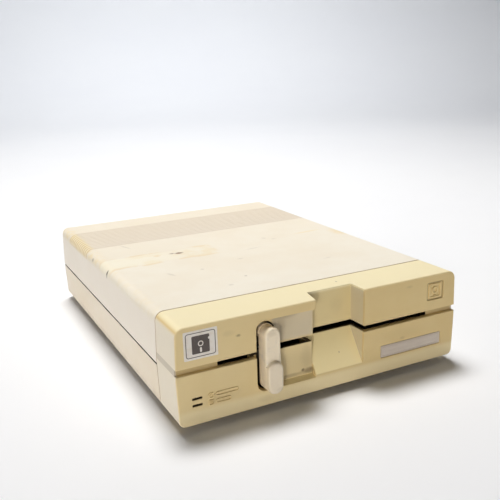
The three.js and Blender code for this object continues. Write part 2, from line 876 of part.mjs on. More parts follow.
function makeLamp(z) {
  const centre = z;
  const lens = box([lampLeft, lampLeft + lampWidth], [fitGap, bezelFace],
    [centre - lampHeight / 2, centre + lampHeight / 2]);
  const body = box([lampLeft, lampLeft + lampWidth], [bezelFace, bezelFace + lampBodyDepth],
    [centre - lampBodyHeight / 2, centre + lampBodyHeight / 2]);
  return lens.add(body);
}

function makeBadge() {
  return prism(rectangle(badgeLeft + fitGap, badgeLeft + badgeWidth - fitGap, badgeLow + fitGap,
    badgeLow + badgeHeight - fitGap, badgeCorner - fitGap), 'y', badgeRecess - badgeThick, badgeRecess);
}

function makeChassis() {
  const inner = chassisHalfWidth - chassisWall;
  const floor = box([-chassisHalfWidth, chassisHalfWidth], [chassisFrontY, chassisRearY],
    [chassisLow, chassisTop]);
  const rearWallY = chassisRearY - rearWallThick;
  const rearWall = box([-chassisHalfWidth, chassisHalfWidth], [rearWallY, chassisRearY],
    [chassisLow, chassisWallTop]);
  let chassis = floor.add(rearWall);
  const diskHalf = diskThick / 2 + diskPlay;
  const guideY = [chassisFrontY + guideStart, chassisFrontY + guideStart + guideLength];
  for (const sign of Object.values(sides)) {
    const span = (from, to) => [Math.min(sign * from, sign * to), Math.max(sign * from, sign * to)];
    const postInner = clampHalfWidth + postGap;
    chassis = join(chassis,
      box(span(inner, chassisHalfWidth), [chassisFrontY, chassisRearY], [chassisLow, chassisWallTop]),
      box(span(inner - guideReach, inner), guideY, [diskZ - diskHalf - guideThick, diskZ - diskHalf]),
      box(span(inner - guideReach, inner), guideY, [diskZ + diskHalf, diskZ + diskHalf + guideThick]),
      box(span(postInner, postInner + postThick),
        [clampHingeY - postDepth / 2, clampHingeY + postDepth / 2],
        [chassisLow, clampHingeZ + postTop]));
  }
  forCorners(pillarPlaces, pillarX, (x, y) => {
    chassis = chassis.add(rod('z', x, y, chassisLow, chassisTop + chassisBossHeight,
      chassisBossRadius, boreSides));
  });
  const ribY = spindleY + railRibOffset;
  const railRib = box([-carriageHalfWidth, leadScrewX + nutWidth / 2], [ribY, ribY + railRibThick],
    [chassisLow, chassisTop + railRibHeight]);
  const bracketY = chassisFrontY + bracketOffset;
  const bracket = box([-chassisHalfWidth, leverX + bracketPast], [bracketY, bracketY + bracketThick],
    [diskZ + bracketRise, chassisWallTop]);
  chassis = join(chassis, railRib, bracket);
  forCorners(pillarPlaces, pillarX, (x, y) => {
    chassis = chassis.subtract(rod('z', x, y, chassisLow - overrun,
      chassisLow + driveScrewBite + fitGap, screwRadius + fitGap, boreSides));
  });
  const tools = [
    rod('z', 0, spindleY, chassisLow - overrun, chassisTop + overrun, bearingRadius + fitGap),
    box([-headOpening / 2, headOpening / 2], [spindleY + headOpeningStart,
      spindleY + headOpeningStart + headOpeningLength], [chassisLow - overrun, chassisTop + overrun]),
    rod('x', clampHingeY, clampHingeZ, -chassisHalfWidth, chassisHalfWidth,
      clampPinRadius + fitGap, boreSides)
      .intersect(box([-inner, inner], [0, caseDepth], [0, caseHeight])),
    rod('y', leverX, pivotZ, bracketY - overrun, bracketY + bracketThick + overrun,
      leverShaftRadius + fitGap, boreSides),
    rod('y', leadScrewX, railZ, ribY - overrun, chassisRearY + overrun,
      leadScrewRadius + fitGap, boreSides),
  ];
  for (const sign of Object.values(sides)) {
    tools.push(rod('y', sign * railX, railZ, ribY - overrun, chassisRearY + overrun,
      railRadius + fitGap, boreSides));
  }
  return cut(chassis, ...tools);
}

function makeMotorBoard() {
  const half = motorBoardWidth / 2;
  const plate = prism(rectangle(-half, half, spindleY - half, spindleY + half, motorBoardCorner),
    'z', motorBoardLow, chassisLow);
  return plate.subtract(rod('z', 0, spindleY, motorBoardLow - overrun, chassisLow + overrun,
    bearingRadius + fitGap));
}

function makeRotor() {
  const rimTop = rotorHeight;
  return turned([
    [0, 0], [rotorRadius, 0], [rotorRadius, rimTop], [rotorRadius - rotorRim, rimTop],
    [rotorRadius - rotorRim, rotorWeb], [0, rotorWeb],
  ], 32);
}

function makeBearing() {
  const low = rotorLow + rotorWeb + rotorClearance;
  const bore = spindleShaftRadius + fitGap;
  return turned([
    [bore, low], [bearingRadius, low], [bearingRadius, chassisTop],
    [bearingFlangeRadius, chassisTop], [bearingFlangeRadius, chassisTop + bearingFlange],
    [bore, chassisTop + bearingFlange], [bore, low],
  ]);
}

function makeSpindleHub() {
  return turned([
    [0, 0], [hubFootRadius, 0], [hubRadius, hubHeight - hubRim], [hubRadius, hubHeight],
    [hubRecessRadius, hubHeight], [hubRecessRadius - hubRim / 2, hubHeight - hubRecess],
    [0, hubHeight - hubRecess],
  ]);
}

function makeClampHub() {
  const coneLow = hubTop - clampConeDepth;
  const capLow = clampPlateTop + fitGap;
  return turned([
    [0, coneLow], [clampConeFoot, coneLow], [clampConeTop, clampFlangeLow],
    [clampFlangeRadius, clampFlangeLow], [clampFlangeRadius, clampFlangeLow + clampFlangeThick],
    [clampStemRadius, clampFlangeLow + clampFlangeThick], [clampStemRadius, capLow],
    [clampCapRadius, capLow], [clampCapRadius, capLow + clampCapThick], [0, capLow + clampCapThick],
  ]);
}

function makeClampArm() {
  const half = clampHalfWidth;
  const rear = spindleY + clampPlateRear;
  const front = spindleY - clampPlateFront;
  const earFront = front - clampEarDepth;
  const earLeft = leverX - clampEarHalfWidth;
  const plate = prism([
    new THREE.Vector2(half, front + clampPlateTaper), new THREE.Vector2(half, rear),
    new THREE.Vector2(-half, rear), new THREE.Vector2(-half, front + clampPlateTaper),
    new THREE.Vector2(earLeft, front), new THREE.Vector2(earLeft, earFront),
    new THREE.Vector2(earLeft + 2 * clampEarHalfWidth, earFront),
    new THREE.Vector2(earLeft + 2 * clampEarHalfWidth + clampEarDepth, front),
    new THREE.Vector2(half - clampPlateTaper, front),
  ], 'z', clampPlateLow, clampPlateTop);
  const lug = clampLugRadius;
  const limbOutline = rounded([
    [front + clampPlateTaper, clampPlateLow],
    [clampHingeY - clampLimbRise / 2, clampPlateLow],
    [clampHingeY + lug, clampHingeZ - lug],
    [clampHingeY + lug, clampHingeZ + lug, lug / 2],
    [clampHingeY - lug, clampHingeZ + lug, lug / 2],
    [clampHingeY - clampLimbRise, clampPlateLow + clampLimbHeight],
    [front + clampPlateTaper, clampPlateLow + clampLimbHeight / 2],
  ], 3);
  const limbs = [
    prism(limbOutline, 'x', -half, clampLimbThick - half),
    prism(limbOutline, 'x', half - clampLimbThick, half),
  ];
  return cut(join(plate, ...limbs),
    rod('z', 0, spindleY, clampPlateLow - overrun, clampPlateTop + overrun, clampStemRadius + fitGap),
    rod('x', clampHingeY, clampHingeZ, -half - overrun, half + overrun,
      clampPinRadius + fitGap, boreSides));
}

function makeCarriage() {
  const back = headY + carriageBehind;
  const half = carriageHalfWidth;
  const nutY = headY + nutOffset;
  const postY = [headHingeY - headPostHalfDepth, headHingeY + headPostHalfDepth];
  const postHalf = headArmHalfWidth + fitGap + headEarThick;
  const earOutline = rounded([
    [headHingeY - headEarRadius, carriageTop - overrun],
    [headHingeY + headEarRadius, carriageTop - overrun],
    [headHingeY + headEarRadius, headHingeZ + headEarRadius, headEarRadius],
    [headHingeY - headEarRadius, headHingeZ + headEarRadius, headEarRadius],
  ], 4);
  const body = join(
    box([-half, half], [headY - carriageAhead, back], [carriageLow, carriageTop]),
    box([half - overrun, leadScrewX + nutWidth / 2], [nutY, nutY + nutLength],
      [carriageLow, carriageTop]),
    box([-postHalf, postHalf], postY, [carriageTop - overrun, headArmLow - headPostGap]),
    prism(earOutline, 'x', -postHalf, headEarThick - postHalf),
    prism(earOutline, 'x', postHalf - headEarThick, postHalf));
  const rails = Object.values(sides).map((sign) => rod('y', sign * railX, railZ,
    headY - carriageAhead - overrun, back + overrun, railRadius + fitGap, boreSides));
  return cut(body, ...rails,
    rod('y', leadScrewX, railZ, nutY - overrun, nutY + nutLength + overrun,
      leadScrewRadius + fitGap, boreSides),
    rod('x', headHingeY, headHingeZ, -postHalf - overrun, postHalf + overrun,
      headPinRadius + fitGap, boreSides));
}

function makeHeadArm() {
  const tip = headY - headArmTip;
  const outline = rounded([
    [tip, headArmLow], [headHingeY + headEarRadius, headArmLow],
    [headHingeY + headEarRadius, headHingeZ + headEarRadius, headEarRadius],
    [headHingeY - headEarRadius, headHingeZ + headEarRadius, headEarRadius],
    [headHingeY - 3 * headEarRadius, headArmLow + headArmThick],
    [tip + headArmThick, headArmLow + headArmThick],
  ], 4);
  return prism(outline, 'x', -headArmHalfWidth, headArmHalfWidth)
    .subtract(rod('x', headHingeY, headHingeZ, -headArmHalfWidth - overrun,
      headArmHalfWidth + overrun, headPinRadius + fitGap, boreSides));
}

function makeStepper() {
  const front = chassisRearY;
  const flange = prism(rectangle(leadScrewX - stepperFlangeWidth / 2,
    leadScrewX + stepperFlangeWidth / 2, railZ - stepperFlangeHeight / 2,
    railZ + stepperFlangeHeight / 2, leadScrewRadius), 'y', front, front + stepperFlange);
  return flange.add(rod('y', leadScrewX, railZ, front, front + stepperFlange + stepperLength,
    stepperRadius));
}

function makeWriteSensor() {
  const wallX = chassisHalfWidth - chassisWall;
  const y = spindleY + writeSensorOffset;
  const jaw = diskZ - writeSensorJaw / 2;
  const block = box([-wallX + fitGap, writeSensorReach - wallX], [y, y + writeSensorLength],
    [chassisTop, chassisTop + writeSensorHeight]);
  return block.subtract(box([writeSensorReach / 3 - wallX, wallX], [y - overrun, y + writeSensorLength
    + overrun], [jaw, jaw + writeSensorJaw]));
}

function makeSensor(x, y, width, length, height) {
  return box([x - width / 2, x + width / 2], [y - length / 2, y + length / 2],
    [chassisTop, chassisTop + height]);
}

function makeTrackSensor() {
  const y = spindleY + trackSensorOffset;
  const height = trackSensorHeight;
  const block = makeSensor(trackSensorX, y, trackSensorWidth, trackSensorLength, height);
  return block.subtract(box([trackSensorX - trackSensorGap / 2, trackSensorX + trackSensorGap / 2],
    [y - trackSensorLength, y + trackSensorLength],
    [chassisTop + height / 3, chassisTop + height + overrun]));
}

// A dual in-line chip with its rows of legs, centred on its own origin
function makeChip(length) {
  const half = chipWidth / 2;
  const mid = (chipLift + chipHeight) / 2;
  const section = [
    new THREE.Vector2(chipDraft - half, chipLift), new THREE.Vector2(half - chipDraft, chipLift),
    new THREE.Vector2(half, mid), new THREE.Vector2(half - chipDraft, chipHeight),
    new THREE.Vector2(chipDraft - half, chipHeight), new THREE.Vector2(-half, mid),
  ];
  const body = prism(section, 'x', -length / 2, length / 2);
  const legs = Object.values(sides).map((sign) => {
    const inner = sign * (half - chipLegThick);
    const outer = sign * (half + chipLegThick);
    return box([chipLegThick - length / 2, length / 2 - chipLegThick],
      [Math.min(inner, outer), Math.max(inner, outer)], [0, mid]);
  });
  return join(body, ...legs).subtract(rod('z', -length / 2, 0, chipHeight - chipNotchDepth,
    chipHeight + overrun, chipNotchRadius, boreSides));
}

function makeControllerBoard() {
  const plate = box([boardLeft, boardRight], [boardFrontY, boardRearY], [boardLow, boardTop]);
  const holes = standoffPlaces().map(([x, y]) => rod('z', x, y, boardLow - overrun,
    boardTop + overrun, pegRadius + fitGap, boreSides));
  return cut(plate, ...holes);
}

// A round socket on the board: block, collar, shield ring gap, key and pin holes
function makeSocket(pinCount, pinCircle) {
  const rear = caseDepth;
  const blockRear = rearInnerY - fitGap;
  const axisZ = boardTop + socketAxisHeight;
  const halfBlock = socketBlockWidth / 2;
  const block = box([-halfBlock, halfBlock], [blockRear - socketBlockDepth, blockRear],
    [boardTop, boardTop + socketBlockHeight]);
  const collar = rod('y', 0, axisZ, blockRear - overrun, rear, socketRadius);
  const ringStart = rear - socketRingDepth;
  const ring = rod('y', 0, axisZ, ringStart, rear + overrun, socketRingOuter)
    .subtract(rod('y', 0, axisZ, ringStart - overrun, rear + 2 * overrun, socketRingInner));
  const halfKey = socketKeyWidth / 2;
  const key = box([-halfKey, halfKey], [ringStart, rear + overrun],
    [axisZ + socketRingInner - halfKey, axisZ + socketRingInner]);
  const pins = [];
  for (let i = 0; i < pinCount; i += 1) {
    const angle = (2 * Math.PI * (i + 1 / 2)) / (pinCount + 1) + Math.PI / 2;
    pins.push(rod('y', pinCircle * Math.cos(angle), axisZ + pinCircle * Math.sin(angle),
      rear - socketPinDepth, rear + overrun, socketPinRadius, 8));
  }
  return cut(block.add(collar), ring, key, ...pins);
}

function makeSwitchBody() {
  const rear = caseDepth;
  const pivotY = rear - rockerPivotDepth;
  const block = box([switchX - switchHalfWidth, switchX + switchHalfWidth],
    [rear - switchDepth, rear], [switchZ - switchHalfHeight, switchZ + switchHalfHeight]);
  const cavityHalf = rockerHalfWidth + fitGap;
  const trunnionHalf = rockerHalfWidth + trunnionReach + fitGap;
  return cut(block,
    box([switchX - cavityHalf, switchX + cavityHalf], [rear - rockerCavityDepth, rear + overrun],
      [switchZ - rockerCavityHalf, switchZ + rockerCavityHalf]),
    rod('x', pivotY, switchZ, switchX - trunnionHalf, switchX + trunnionHalf,
      trunnionRadius + fitGap, boreSides));
}

// The rocker about its own pivot, as an outline in (y, z)
function makeRocker() {
  const crown = rockerPivotDepth + rockerCrown;
  const outline = [
    new THREE.Vector2(crown, rockerHalfHeight), new THREE.Vector2(0, rockerHalfHeight),
    new THREE.Vector2(-rockerBack, rockerBackHalf), new THREE.Vector2(-rockerBack, -rockerBackHalf),
    new THREE.Vector2(0, -rockerHalfHeight), new THREE.Vector2(crown, -rockerHalfHeight),
    new THREE.Vector2(rockerPivotDepth - rockerDip, 0),
  ];
  const trunnionHalf = rockerHalfWidth + trunnionReach;
  return prism(outline, 'x', -rockerHalfWidth, rockerHalfWidth)
    .add(rod('x', 0, 0, -trunnionHalf, trunnionHalf, trunnionRadius, boreSides));
}

function makeSelectorBody() {
  const rear = rearInnerY - fitGap;
  const half = selectorWidth / 2;
  const low = boardTop + selectorSlotRise;
  const block = box([selectorX - half, selectorX + half], [rear - selectorDepth, rear],
    [boardTop, boardTop + selectorHeight]);
  const slots = Object.values(sides).map((sign) => {
    const x = selectorX + sign * selectorSlotOffset;
    return box([x - selectorSlotWidth / 2, x + selectorSlotWidth / 2],
      [rear - selectorSlotDepth, rear + overrun], [low, low + selectorSlotHeight]);
  });
  return cut(block, ...slots);
}

function makeSelectorLever(sign) {
  const rear = rearInnerY - fitGap;
  const x = selectorX + sign * selectorSlotOffset;
  const half = selectorSlotWidth / 2 - fitGap;
  const low = boardTop + selectorSlotRise + fitGap;
  return box([x - half, x + half], [rear - selectorSlotDepth + fitGap, rear + selectorLeverStand],
    [low, low + selectorLeverHeight]);
}

// Flat ribbon: back from the drive plug, round one bend and down to the board plug
function makeRibbon() {
  const startY = chassisRearY - drivePlugInset;
  const topZ = driveBoardTop + drivePlugHeight / 2 + ribbonThick / 2;
  const bendY = startY + ribbonLead;
  const low = boardTop + boardPlugHeight;
  const outline = rounded([
    [startY, topZ - ribbonThick], [bendY - ribbonThick, topZ - ribbonThick, ribbonBend - ribbonThick],
    [bendY - ribbonThick, low], [bendY, low],
    [bendY, topZ, ribbonBend], [startY, topZ],
  ]);
  const half = plugWidth / 2 - ribbonInset;
  return prism(outline, 'x', plugX - half, plugX + half);
}

function makePlug(centreY, low, height) {
  return box([plugX - plugWidth / 2, plugX + plugWidth / 2],
    [centreY - plugLength / 2, centreY + plugLength / 2], [low, low + height]);
}

// Case
place('top_cover', makeTopCover(), cream);
place('base_tray', makeBaseTray(), creamSide);
place('front_bezel', makeFrontBezel(), agedTan);
const foot = makeFoot();
forCorners(footPlaces, footX, (x, y, corner) => place(`foot_${corner}`, foot, rubber, [x, y, 0]));
const caseScrew = makeScrew(partingHeight - screwSeat + screwBite);
forCorners(bossPlaces, bossX, (x, y, corner) => {
  place(`case_screw_${corner}`, caseScrew, steel, [x, y, screwSeat]);
});
place('power_lamp', makeLamp(powerLampZ), greenLamp);
place('drive_lamp', makeLamp(driveLampZ), redLamp);
place('blank_badge', makeBadge(), badgeGrey);

// Lever
place('disk_lever', makeLever(), paleGrey);
place('lever_shaft', makeLeverShaft(), steel);
place('clamp_cam', makeClampCam(), nylon);

// Drive mechanism
place('drive_chassis', makeChassis(), castAlloy);
const driveScrew = makeScrew(chassisLow - driveScrewSeat + driveScrewBite);
forCorners(pillarPlaces, pillarX, (x, y, corner) => {
  place(`drive_screw_${corner}`, driveScrew, steel, [x, y, driveScrewSeat]);
});
place('motor_board', makeMotorBoard(), boardGreen);
place('spindle_bearing', makeBearing(), steel, [0, spindleY, 0]);
place('spindle_rotor', makeRotor(), steel, [0, spindleY, rotorLow]);
place('spindle_shaft', rod('z', 0, spindleY, rotorLow + rotorWeb, hubLow, spindleShaftRadius), steel);
place('spindle_hub', makeSpindleHub(), nylon, [0, spindleY, hubLow]);
place('clamp_arm', makeClampArm(), steel);
place('clamp_hub', makeClampHub(), nylon, [0, spindleY, 0]);
const clampPinHalf = clampHalfWidth + postGap + postThick;
place('clamp_hinge_pin', rod('x', clampHingeY, clampHingeZ, -clampPinHalf, clampPinHalf,
  clampPinRadius, boreSides), steel);
place('head_carriage', makeCarriage(), black);
place('lower_head', box([-lowerHeadWidth / 2, lowerHeadWidth / 2],
  [headY - lowerHeadLength / 2, headY + lowerHeadLength / 2], [carriageTop, hubTop]), steel);
place('head_arm', makeHeadArm(), black);
place('pressure_pad', rod('z', 0, headY, hubTop + padClearance, headArmLow, padWidth / 2,
  boreSides), nylon);
place('head_arm_pin', rod('x', headHingeY, headHingeZ, -headArmHalfWidth - headEarThick,
  headArmHalfWidth + headEarThick, headPinRadius, boreSides), steel);
for (const [side, sign] of Object.entries(sides)) {
  place(`guide_rail_${side}`, rod('y', sign * railX, railZ, spindleY + railRibOffset, chassisRearY,
    railRadius, boreSides), steel);
}
place('step_motor', makeStepper(), steel);
place('lead_screw', rod('y', leadScrewX, railZ, spindleY + railRibOffset, chassisRearY - fitGap,
  leadScrewRadius, boreSides), steel);
place('write_protect_sensor', makeWriteSensor(), black);
place('index_sensor', makeSensor(indexSensorX, spindleY + indexSensorOffset, indexSensorWidth,
  indexSensorLength, indexSensorHeight), black);
place('track_zero_sensor', makeTrackSensor(), black);

// Boards, cable and back panel
const driveBoardY = spindleY + driveBoardOffset;
place('drive_board', box([driveBoardInset - chassisHalfWidth, chassisHalfWidth - driveBoardInset],
  [driveBoardY, driveBoardY + driveBoardLength], [chassisWallTop, driveBoardTop]), boardGreen);
place('controller_board', makeControllerBoard(), boardGreen);
const longChip = makeChip(chipLong);
place('chip_processor', longChip, black, [chipColumnX, chipFirstY, boardTop]);
place('chip_port_a', longChip, black, [chipColumnX, chipFirstY + chipPitch, boardTop]);
place('chip_port_b', longChip, black, [chipColumnX, chipFirstY + 2 * chipPitch, boardTop]);
place('chip_program', makeChip(chipShort), black, [chipSecondX, chipFirstY, boardTop]);
const drivePlugY = chassisRearY - drivePlugInset - plugLength / 2;
const boardPlugY = chassisRearY - drivePlugInset + ribbonLead - ribbonThick / 2;
place('ribbon_cable', makeRibbon(), ribbonGrey);
place('ribbon_plug_drive', makePlug(drivePlugY, driveBoardTop, drivePlugHeight), black);
place('ribbon_plug_board', makePlug(boardPlugY, boardTop, boardPlugHeight), black);
const serialSocket = makeSocket(serialPinCount, serialPinCircle);
place('serial_socket_left', serialSocket, black, [serialLeftX, 0, 0]);
place('serial_socket_right', serialSocket, black, [serialRightX, 0, 0]);
place('power_socket', makeSocket(powerPinCount, powerPinCircle), black, [powerSocketX, 0, 0]);
place('power_switch_body', makeSwitchBody(), black);
const rocker = place('power_rocker', makeRocker(), black,
  [switchX, caseDepth - rockerPivotDepth, switchZ]);
rocker.rotation.x = -rockerTiltDegrees * radian;
place('selector_body', makeSelectorBody(), black);
for (const [side, sign] of Object.entries(sides)) {
  place(`selector_lever_${side}`, makeSelectorLever(sign), nylon);
}

unit.position.set(0, leverReach - totalDepth / 2, footHeight);
const floppyDrive = new THREE.Group();
floppyDrive.add(unit);

export default floppyDrive;
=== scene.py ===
import json
import math

import bmesh
import bpy
from mathutils import Matrix, Vector


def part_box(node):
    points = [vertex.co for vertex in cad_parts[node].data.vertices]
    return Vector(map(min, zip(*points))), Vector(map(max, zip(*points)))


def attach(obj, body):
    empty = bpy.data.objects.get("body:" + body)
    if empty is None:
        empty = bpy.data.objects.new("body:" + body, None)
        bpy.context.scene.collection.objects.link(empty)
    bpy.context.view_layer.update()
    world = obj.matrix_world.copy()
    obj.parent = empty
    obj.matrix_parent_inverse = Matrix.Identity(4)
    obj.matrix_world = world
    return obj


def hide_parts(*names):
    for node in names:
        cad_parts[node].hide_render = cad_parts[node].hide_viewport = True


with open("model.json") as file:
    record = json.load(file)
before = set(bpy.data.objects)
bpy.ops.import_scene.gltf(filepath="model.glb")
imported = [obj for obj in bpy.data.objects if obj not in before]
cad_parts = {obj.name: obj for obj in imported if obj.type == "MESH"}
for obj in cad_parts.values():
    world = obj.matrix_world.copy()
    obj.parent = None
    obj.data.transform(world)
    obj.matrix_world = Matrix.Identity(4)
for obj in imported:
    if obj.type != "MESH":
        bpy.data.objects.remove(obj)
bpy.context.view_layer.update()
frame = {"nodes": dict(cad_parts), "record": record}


# A dictionary of settings, whose entries are read as name.entry
class Spec(dict):
    __getattr__ = dict.__getitem__


# Every size below is in millimetres. Places are measured from the bezel's front plane (y) and
# the underside of the case (z), with x from the middle. Places this near are the same place
mm = 0.001
near = 0.01
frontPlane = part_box("front_bezel")[0].y
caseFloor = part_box("base_tray")[0].z
case = Spec(width=184, depth=252, height=55, parting=25.9, draft=0.8, topRadius=5, footRadius=3.5,
            rearRadius=5, wall=2.5, seamWidth=1.0, seamDepth=1.6, frontSeam=0.8, softEdge=0.25)
halfWidth = case.width / 2


def spot(x, y, z):
    return Vector((x * mm, frontPlane + y * mm, caseFloor + z * mm))


def onCase(co):
    return Vector((co.x, co.y - frontPlane, co.z - caseFloor)) / mm


# The camera stands where the photograph was taken from
view = Spec(lens=49.68, place=(-0.199053, -0.423665, 0.188655),
            turns=(("Z", -26.707), ("X", 90 - 15.81), ("Z", -1.787)))
bpy.ops.object.camera_add()
camera = bpy.context.active_object
camera.data.lens = view.lens
camera.data.sensor_width = 36
stand = Matrix.Translation(view.place)
for axis, degrees in view.turns:
    stand = stand @ Matrix.Rotation(math.radians(degrees), 4, axis)
camera.matrix_world = stand
bpy.context.scene.camera = camera
print("camera placed")


# Small helpers for modelling

def about(centre, half):
    return centre - half, centre + half


def shrunk(ends, by):
    return ends[0] + by, ends[1] - by


def aloneActive(piece):
    if bpy.context.mode != "OBJECT":
        done()
    bpy.ops.object.select_all(action="DESELECT")
    piece.select_set(True)
    bpy.context.view_layer.objects.active = piece


def settle(name):
    piece = bpy.context.active_object
    piece.name = piece.data.name = name
    aloneActive(piece)
    bpy.ops.object.transform_apply(location=True, rotation=True, scale=True)
    return piece


def addBlock(name, x, y, z):
    low, high = [spot(*corner) for corner in zip(x, y, z)]
    bpy.ops.mesh.primitive_cube_add(size=1, location=(low + high) / 2)
    bpy.context.active_object.scale = high - low
    return settle(name)


def addRod(name, axis, start, radius, length, sides=48):
    turn = {"x": (0, math.pi / 2, 0), "y": (math.pi / 2, 0, 0), "z": (0, 0, 0)}[axis]
    centre = spot(*start)
    centre["xyz".index(axis)] += length * mm / 2
    bpy.ops.mesh.primitive_cylinder_add(
        vertices=sides, radius=radius * mm, depth=length * mm, location=centre, rotation=turn)
    return settle(name)


def middle(part):
    return onCase(sum((v.co for v in part.verts), Vector()) / len(part.verts))


def runs(edge, axis):
    step = edge.verts[1].co - edge.verts[0].co
    return step.length > 0 and abs(getattr(step, axis)) > 0.999 * step.length


def allAt(edge, axis, level):
    return all(abs(getattr(onCase(v.co), axis) - level) < near for v in edge.verts)


# Goes into edit mode with only those parts selected that pass the test
def pick(piece, kind, test=lambda part: True):
    aloneActive(piece)
    bpy.ops.object.mode_set(mode="EDIT")
    bpy.ops.mesh.select_mode(type=kind)
    bpy.ops.mesh.select_all(action="DESELECT")
    shape = bmesh.from_edit_mesh(piece.data)
    for part in getattr(shape, kind.lower() + "s"):
        if test(part):
            part.select_set(True)
    bmesh.update_edit_mesh(piece.data)


def done():
    bpy.ops.object.mode_set(mode="OBJECT")


def extrudeUp(height):
    bpy.ops.mesh.extrude_region_move(TRANSFORM_OT_translate={"value": (0, 0, height)})


def removeFaces(piece, test):
    pick(piece, "FACE", test)
    bpy.ops.mesh.delete(type="FACE")
    done()


def moveParts(piece, test, x=0, y=0, z=0):
    pick(piece, "VERT", lambda corner: test(onCase(corner.co)))
    bpy.ops.transform.translate(value=(x * mm, y * mm, z * mm))
    done()


def roundEdges(piece, test, radius, segments):
    pick(piece, "EDGE", test)
    bpy.ops.mesh.bevel(offset=radius * mm, segments=segments, affect="EDGES", clamp_overlap=False)
    done()


def sliceAt(piece, axis, place, **clear):
    pick(piece, "FACE")
    normal = [int(axis == a) for a in "xyz"]
    at = spot(*[place * n for n in normal])
    bpy.ops.mesh.bisect(plane_co=at, plane_no=normal, **clear)
    done()


def applied(piece, kind, **settings):
    aloneActive(piece)
    change = piece.modifiers.new(kind.title(), kind)
    for key, value in settings.items():
        setattr(change, key, value)
    bpy.ops.object.modifier_apply(modifier=change.name)
    return piece


def carve(piece, *tools, operation="DIFFERENCE"):
    for tool in tools:
        applied(piece, "BOOLEAN", operation=operation, solver="EXACT", object=tool)
        bpy.data.objects.remove(tool)
    return piece


def weld(piece, *tools):
    return carve(piece, *tools, operation="UNION")


def asOne(name, *pieces):
    aloneActive(pieces[0])
    for piece in pieces:
        piece.select_set(True)
    bpy.ops.object.join()
    return settle(name)


def copied(piece, name, x=0, y=0, z=0):
    twin = piece.copy()
    twin.data = piece.data.copy()
    bpy.context.scene.collection.objects.link(twin)
    twin.location = (x * mm, y * mm, z * mm)
    aloneActive(twin)
    return settle(name)


# Merges doubles, breaks every hard edge a little as a mould does, and shades the piece
def soften(piece, width=None, segments=3, limit=38):
    pick(piece, "FACE")
    bpy.ops.mesh.remove_doubles(threshold=0.004 * mm)
    bpy.ops.mesh.dissolve_limited(angle_limit=math.radians(0.4))
    bpy.ops.mesh.normals_make_consistent(inside=False)
    done()
    if width:
        applied(piece, "BEVEL", width=width * mm, segments=segments, limit_method="ANGLE",
                angle_limit=math.radians(limit), use_clamp_overlap=False, miter_outer="MITER_ARC")
    aloneActive(piece)
    bpy.ops.object.shade_smooth_by_angle(angle=math.radians(limit))
    applied(piece, "WEIGHTED_NORMAL", keep_sharp=True, weight=60)
    return piece


# Small helpers for materials. Patterns are laid out in the same millimetres as the pieces,
# and a new node goes into the tree of the sockets that feed it

def tone(colour):
    parts = [v / 255 for v in colour]
    return [v / 12.92 if v <= 0.04045 else ((v + 0.055) / 1.055) ** 2.4 for v in parts] + [1]


def add(kind, inputs, **settings):
    tree = next(v.id_data for v in inputs.values() if isinstance(v, bpy.types.NodeSocket))
    made = tree.nodes.new("ShaderNode" + kind)
    for key, value in settings.items():
        setattr(made, key, value)
    for key, value in inputs.items():
        if isinstance(value, bpy.types.NodeSocket):
            tree.links.new(value, made.inputs[key])
        else:
            made.inputs[key].default_value = value
    return made.outputs


def calc(operation, a, b=0.0, clamp=False):
    return add("Math", {0: a, 1: b}, operation=operation, use_clamp=clamp)[0]


def minus(a, b):
    return calc("SUBTRACT", a, b)


def both(first, *others):
    for other in others:
        first = calc("MULTIPLY", first, other)
    return first


def fade(value, start, end, low=0.0, high=1.0):
    return add("MapRange", {
        "Value": value, "From Min": start, "From Max": end, "To Min": low, "To Max": high,
    }, interpolation_type="SMOOTHSTEP")[0]


def band(value, low, high, soft):
    return both(fade(value, low - soft, low + soft), fade(value, high + soft, high - soft))


# A colour is a mix made before, or red, green and blue up to 255
def blend(amount, under, over):
    under, over = [tone(c) if isinstance(c, tuple) else c for c in (under, over)]
    return add("Mix", {0: amount, 6: under, 7: over}, data_type="RGBA")[2]


def smudged(colour, mask, share, over):
    return blend(both(mask, share), colour, over)


def clouds(where, size, detail=3.0, roughness=0.5, stretch=None):
    if stretch:
        where = add("Mapping", {"Vector": where, "Scale": stretch})[0]
    return add("TexNoise", {"Vector": where, "Scale": 1 / size, "Detail": detail,
                            "Roughness": roughness})[0]


def axes(where):
    return dict(zip("xyz", add("SeparateXYZ", {0: where})))


# Lays zones over a colour: a colour's name, a strength and limits. A limit names a place or
# pattern, then two numbers to fade between, or a band's two ends and their softness
def zoned(colour, places, look, zones):
    for name, share, *limits in zones:
        masks = []
        for place, *ends in limits:
            kind = band if len(ends) == 3 else fade
            masks.append(kind(places[place], *ends) if ends else places[place])
        colour = smudged(colour, both(*masks), share, look[name])
    return colour


# Small ragged marks, each a colour's name, a strength, a place, half sizes and perhaps a turn
def marked(colour, where, look, marks, ragged=0.3, soft=0.8):
    for name, share, centre, half, *turn in marks:
        local = add("Mapping", {"Vector": where, "Location": centre, "Scale": half,
                                "Rotation": (0, 0, math.radians(sum(turn)))},
                    vector_type="TEXTURE")[0]
        away = add("VectorMath", {0: local}, operation="LENGTH")["Value"]
        noise = clouds(where, max(half[:2]) * 0.6)
        away = calc("ADD", away, both(noise, 2 * ragged))
        colour = smudged(colour, fade(away, 1 + ragged, 1 + ragged - soft), share, look[name])
    return colour


# 1 inside a rounded rectangle seen along the third axis, 0 outside it
def plaque(across, up, centre, half, corner, soft=0.08):
    squares = []
    for value, place, size in zip((across, up), centre, half):
        away = calc("ABSOLUTE", minus(value, place))
        past = calc("MAXIMUM", minus(away, size - corner), 0.0)
        squares.append(both(past, past))
    return fade(calc("SQRT", calc("ADD", *squares)), corner + soft, corner - soft)


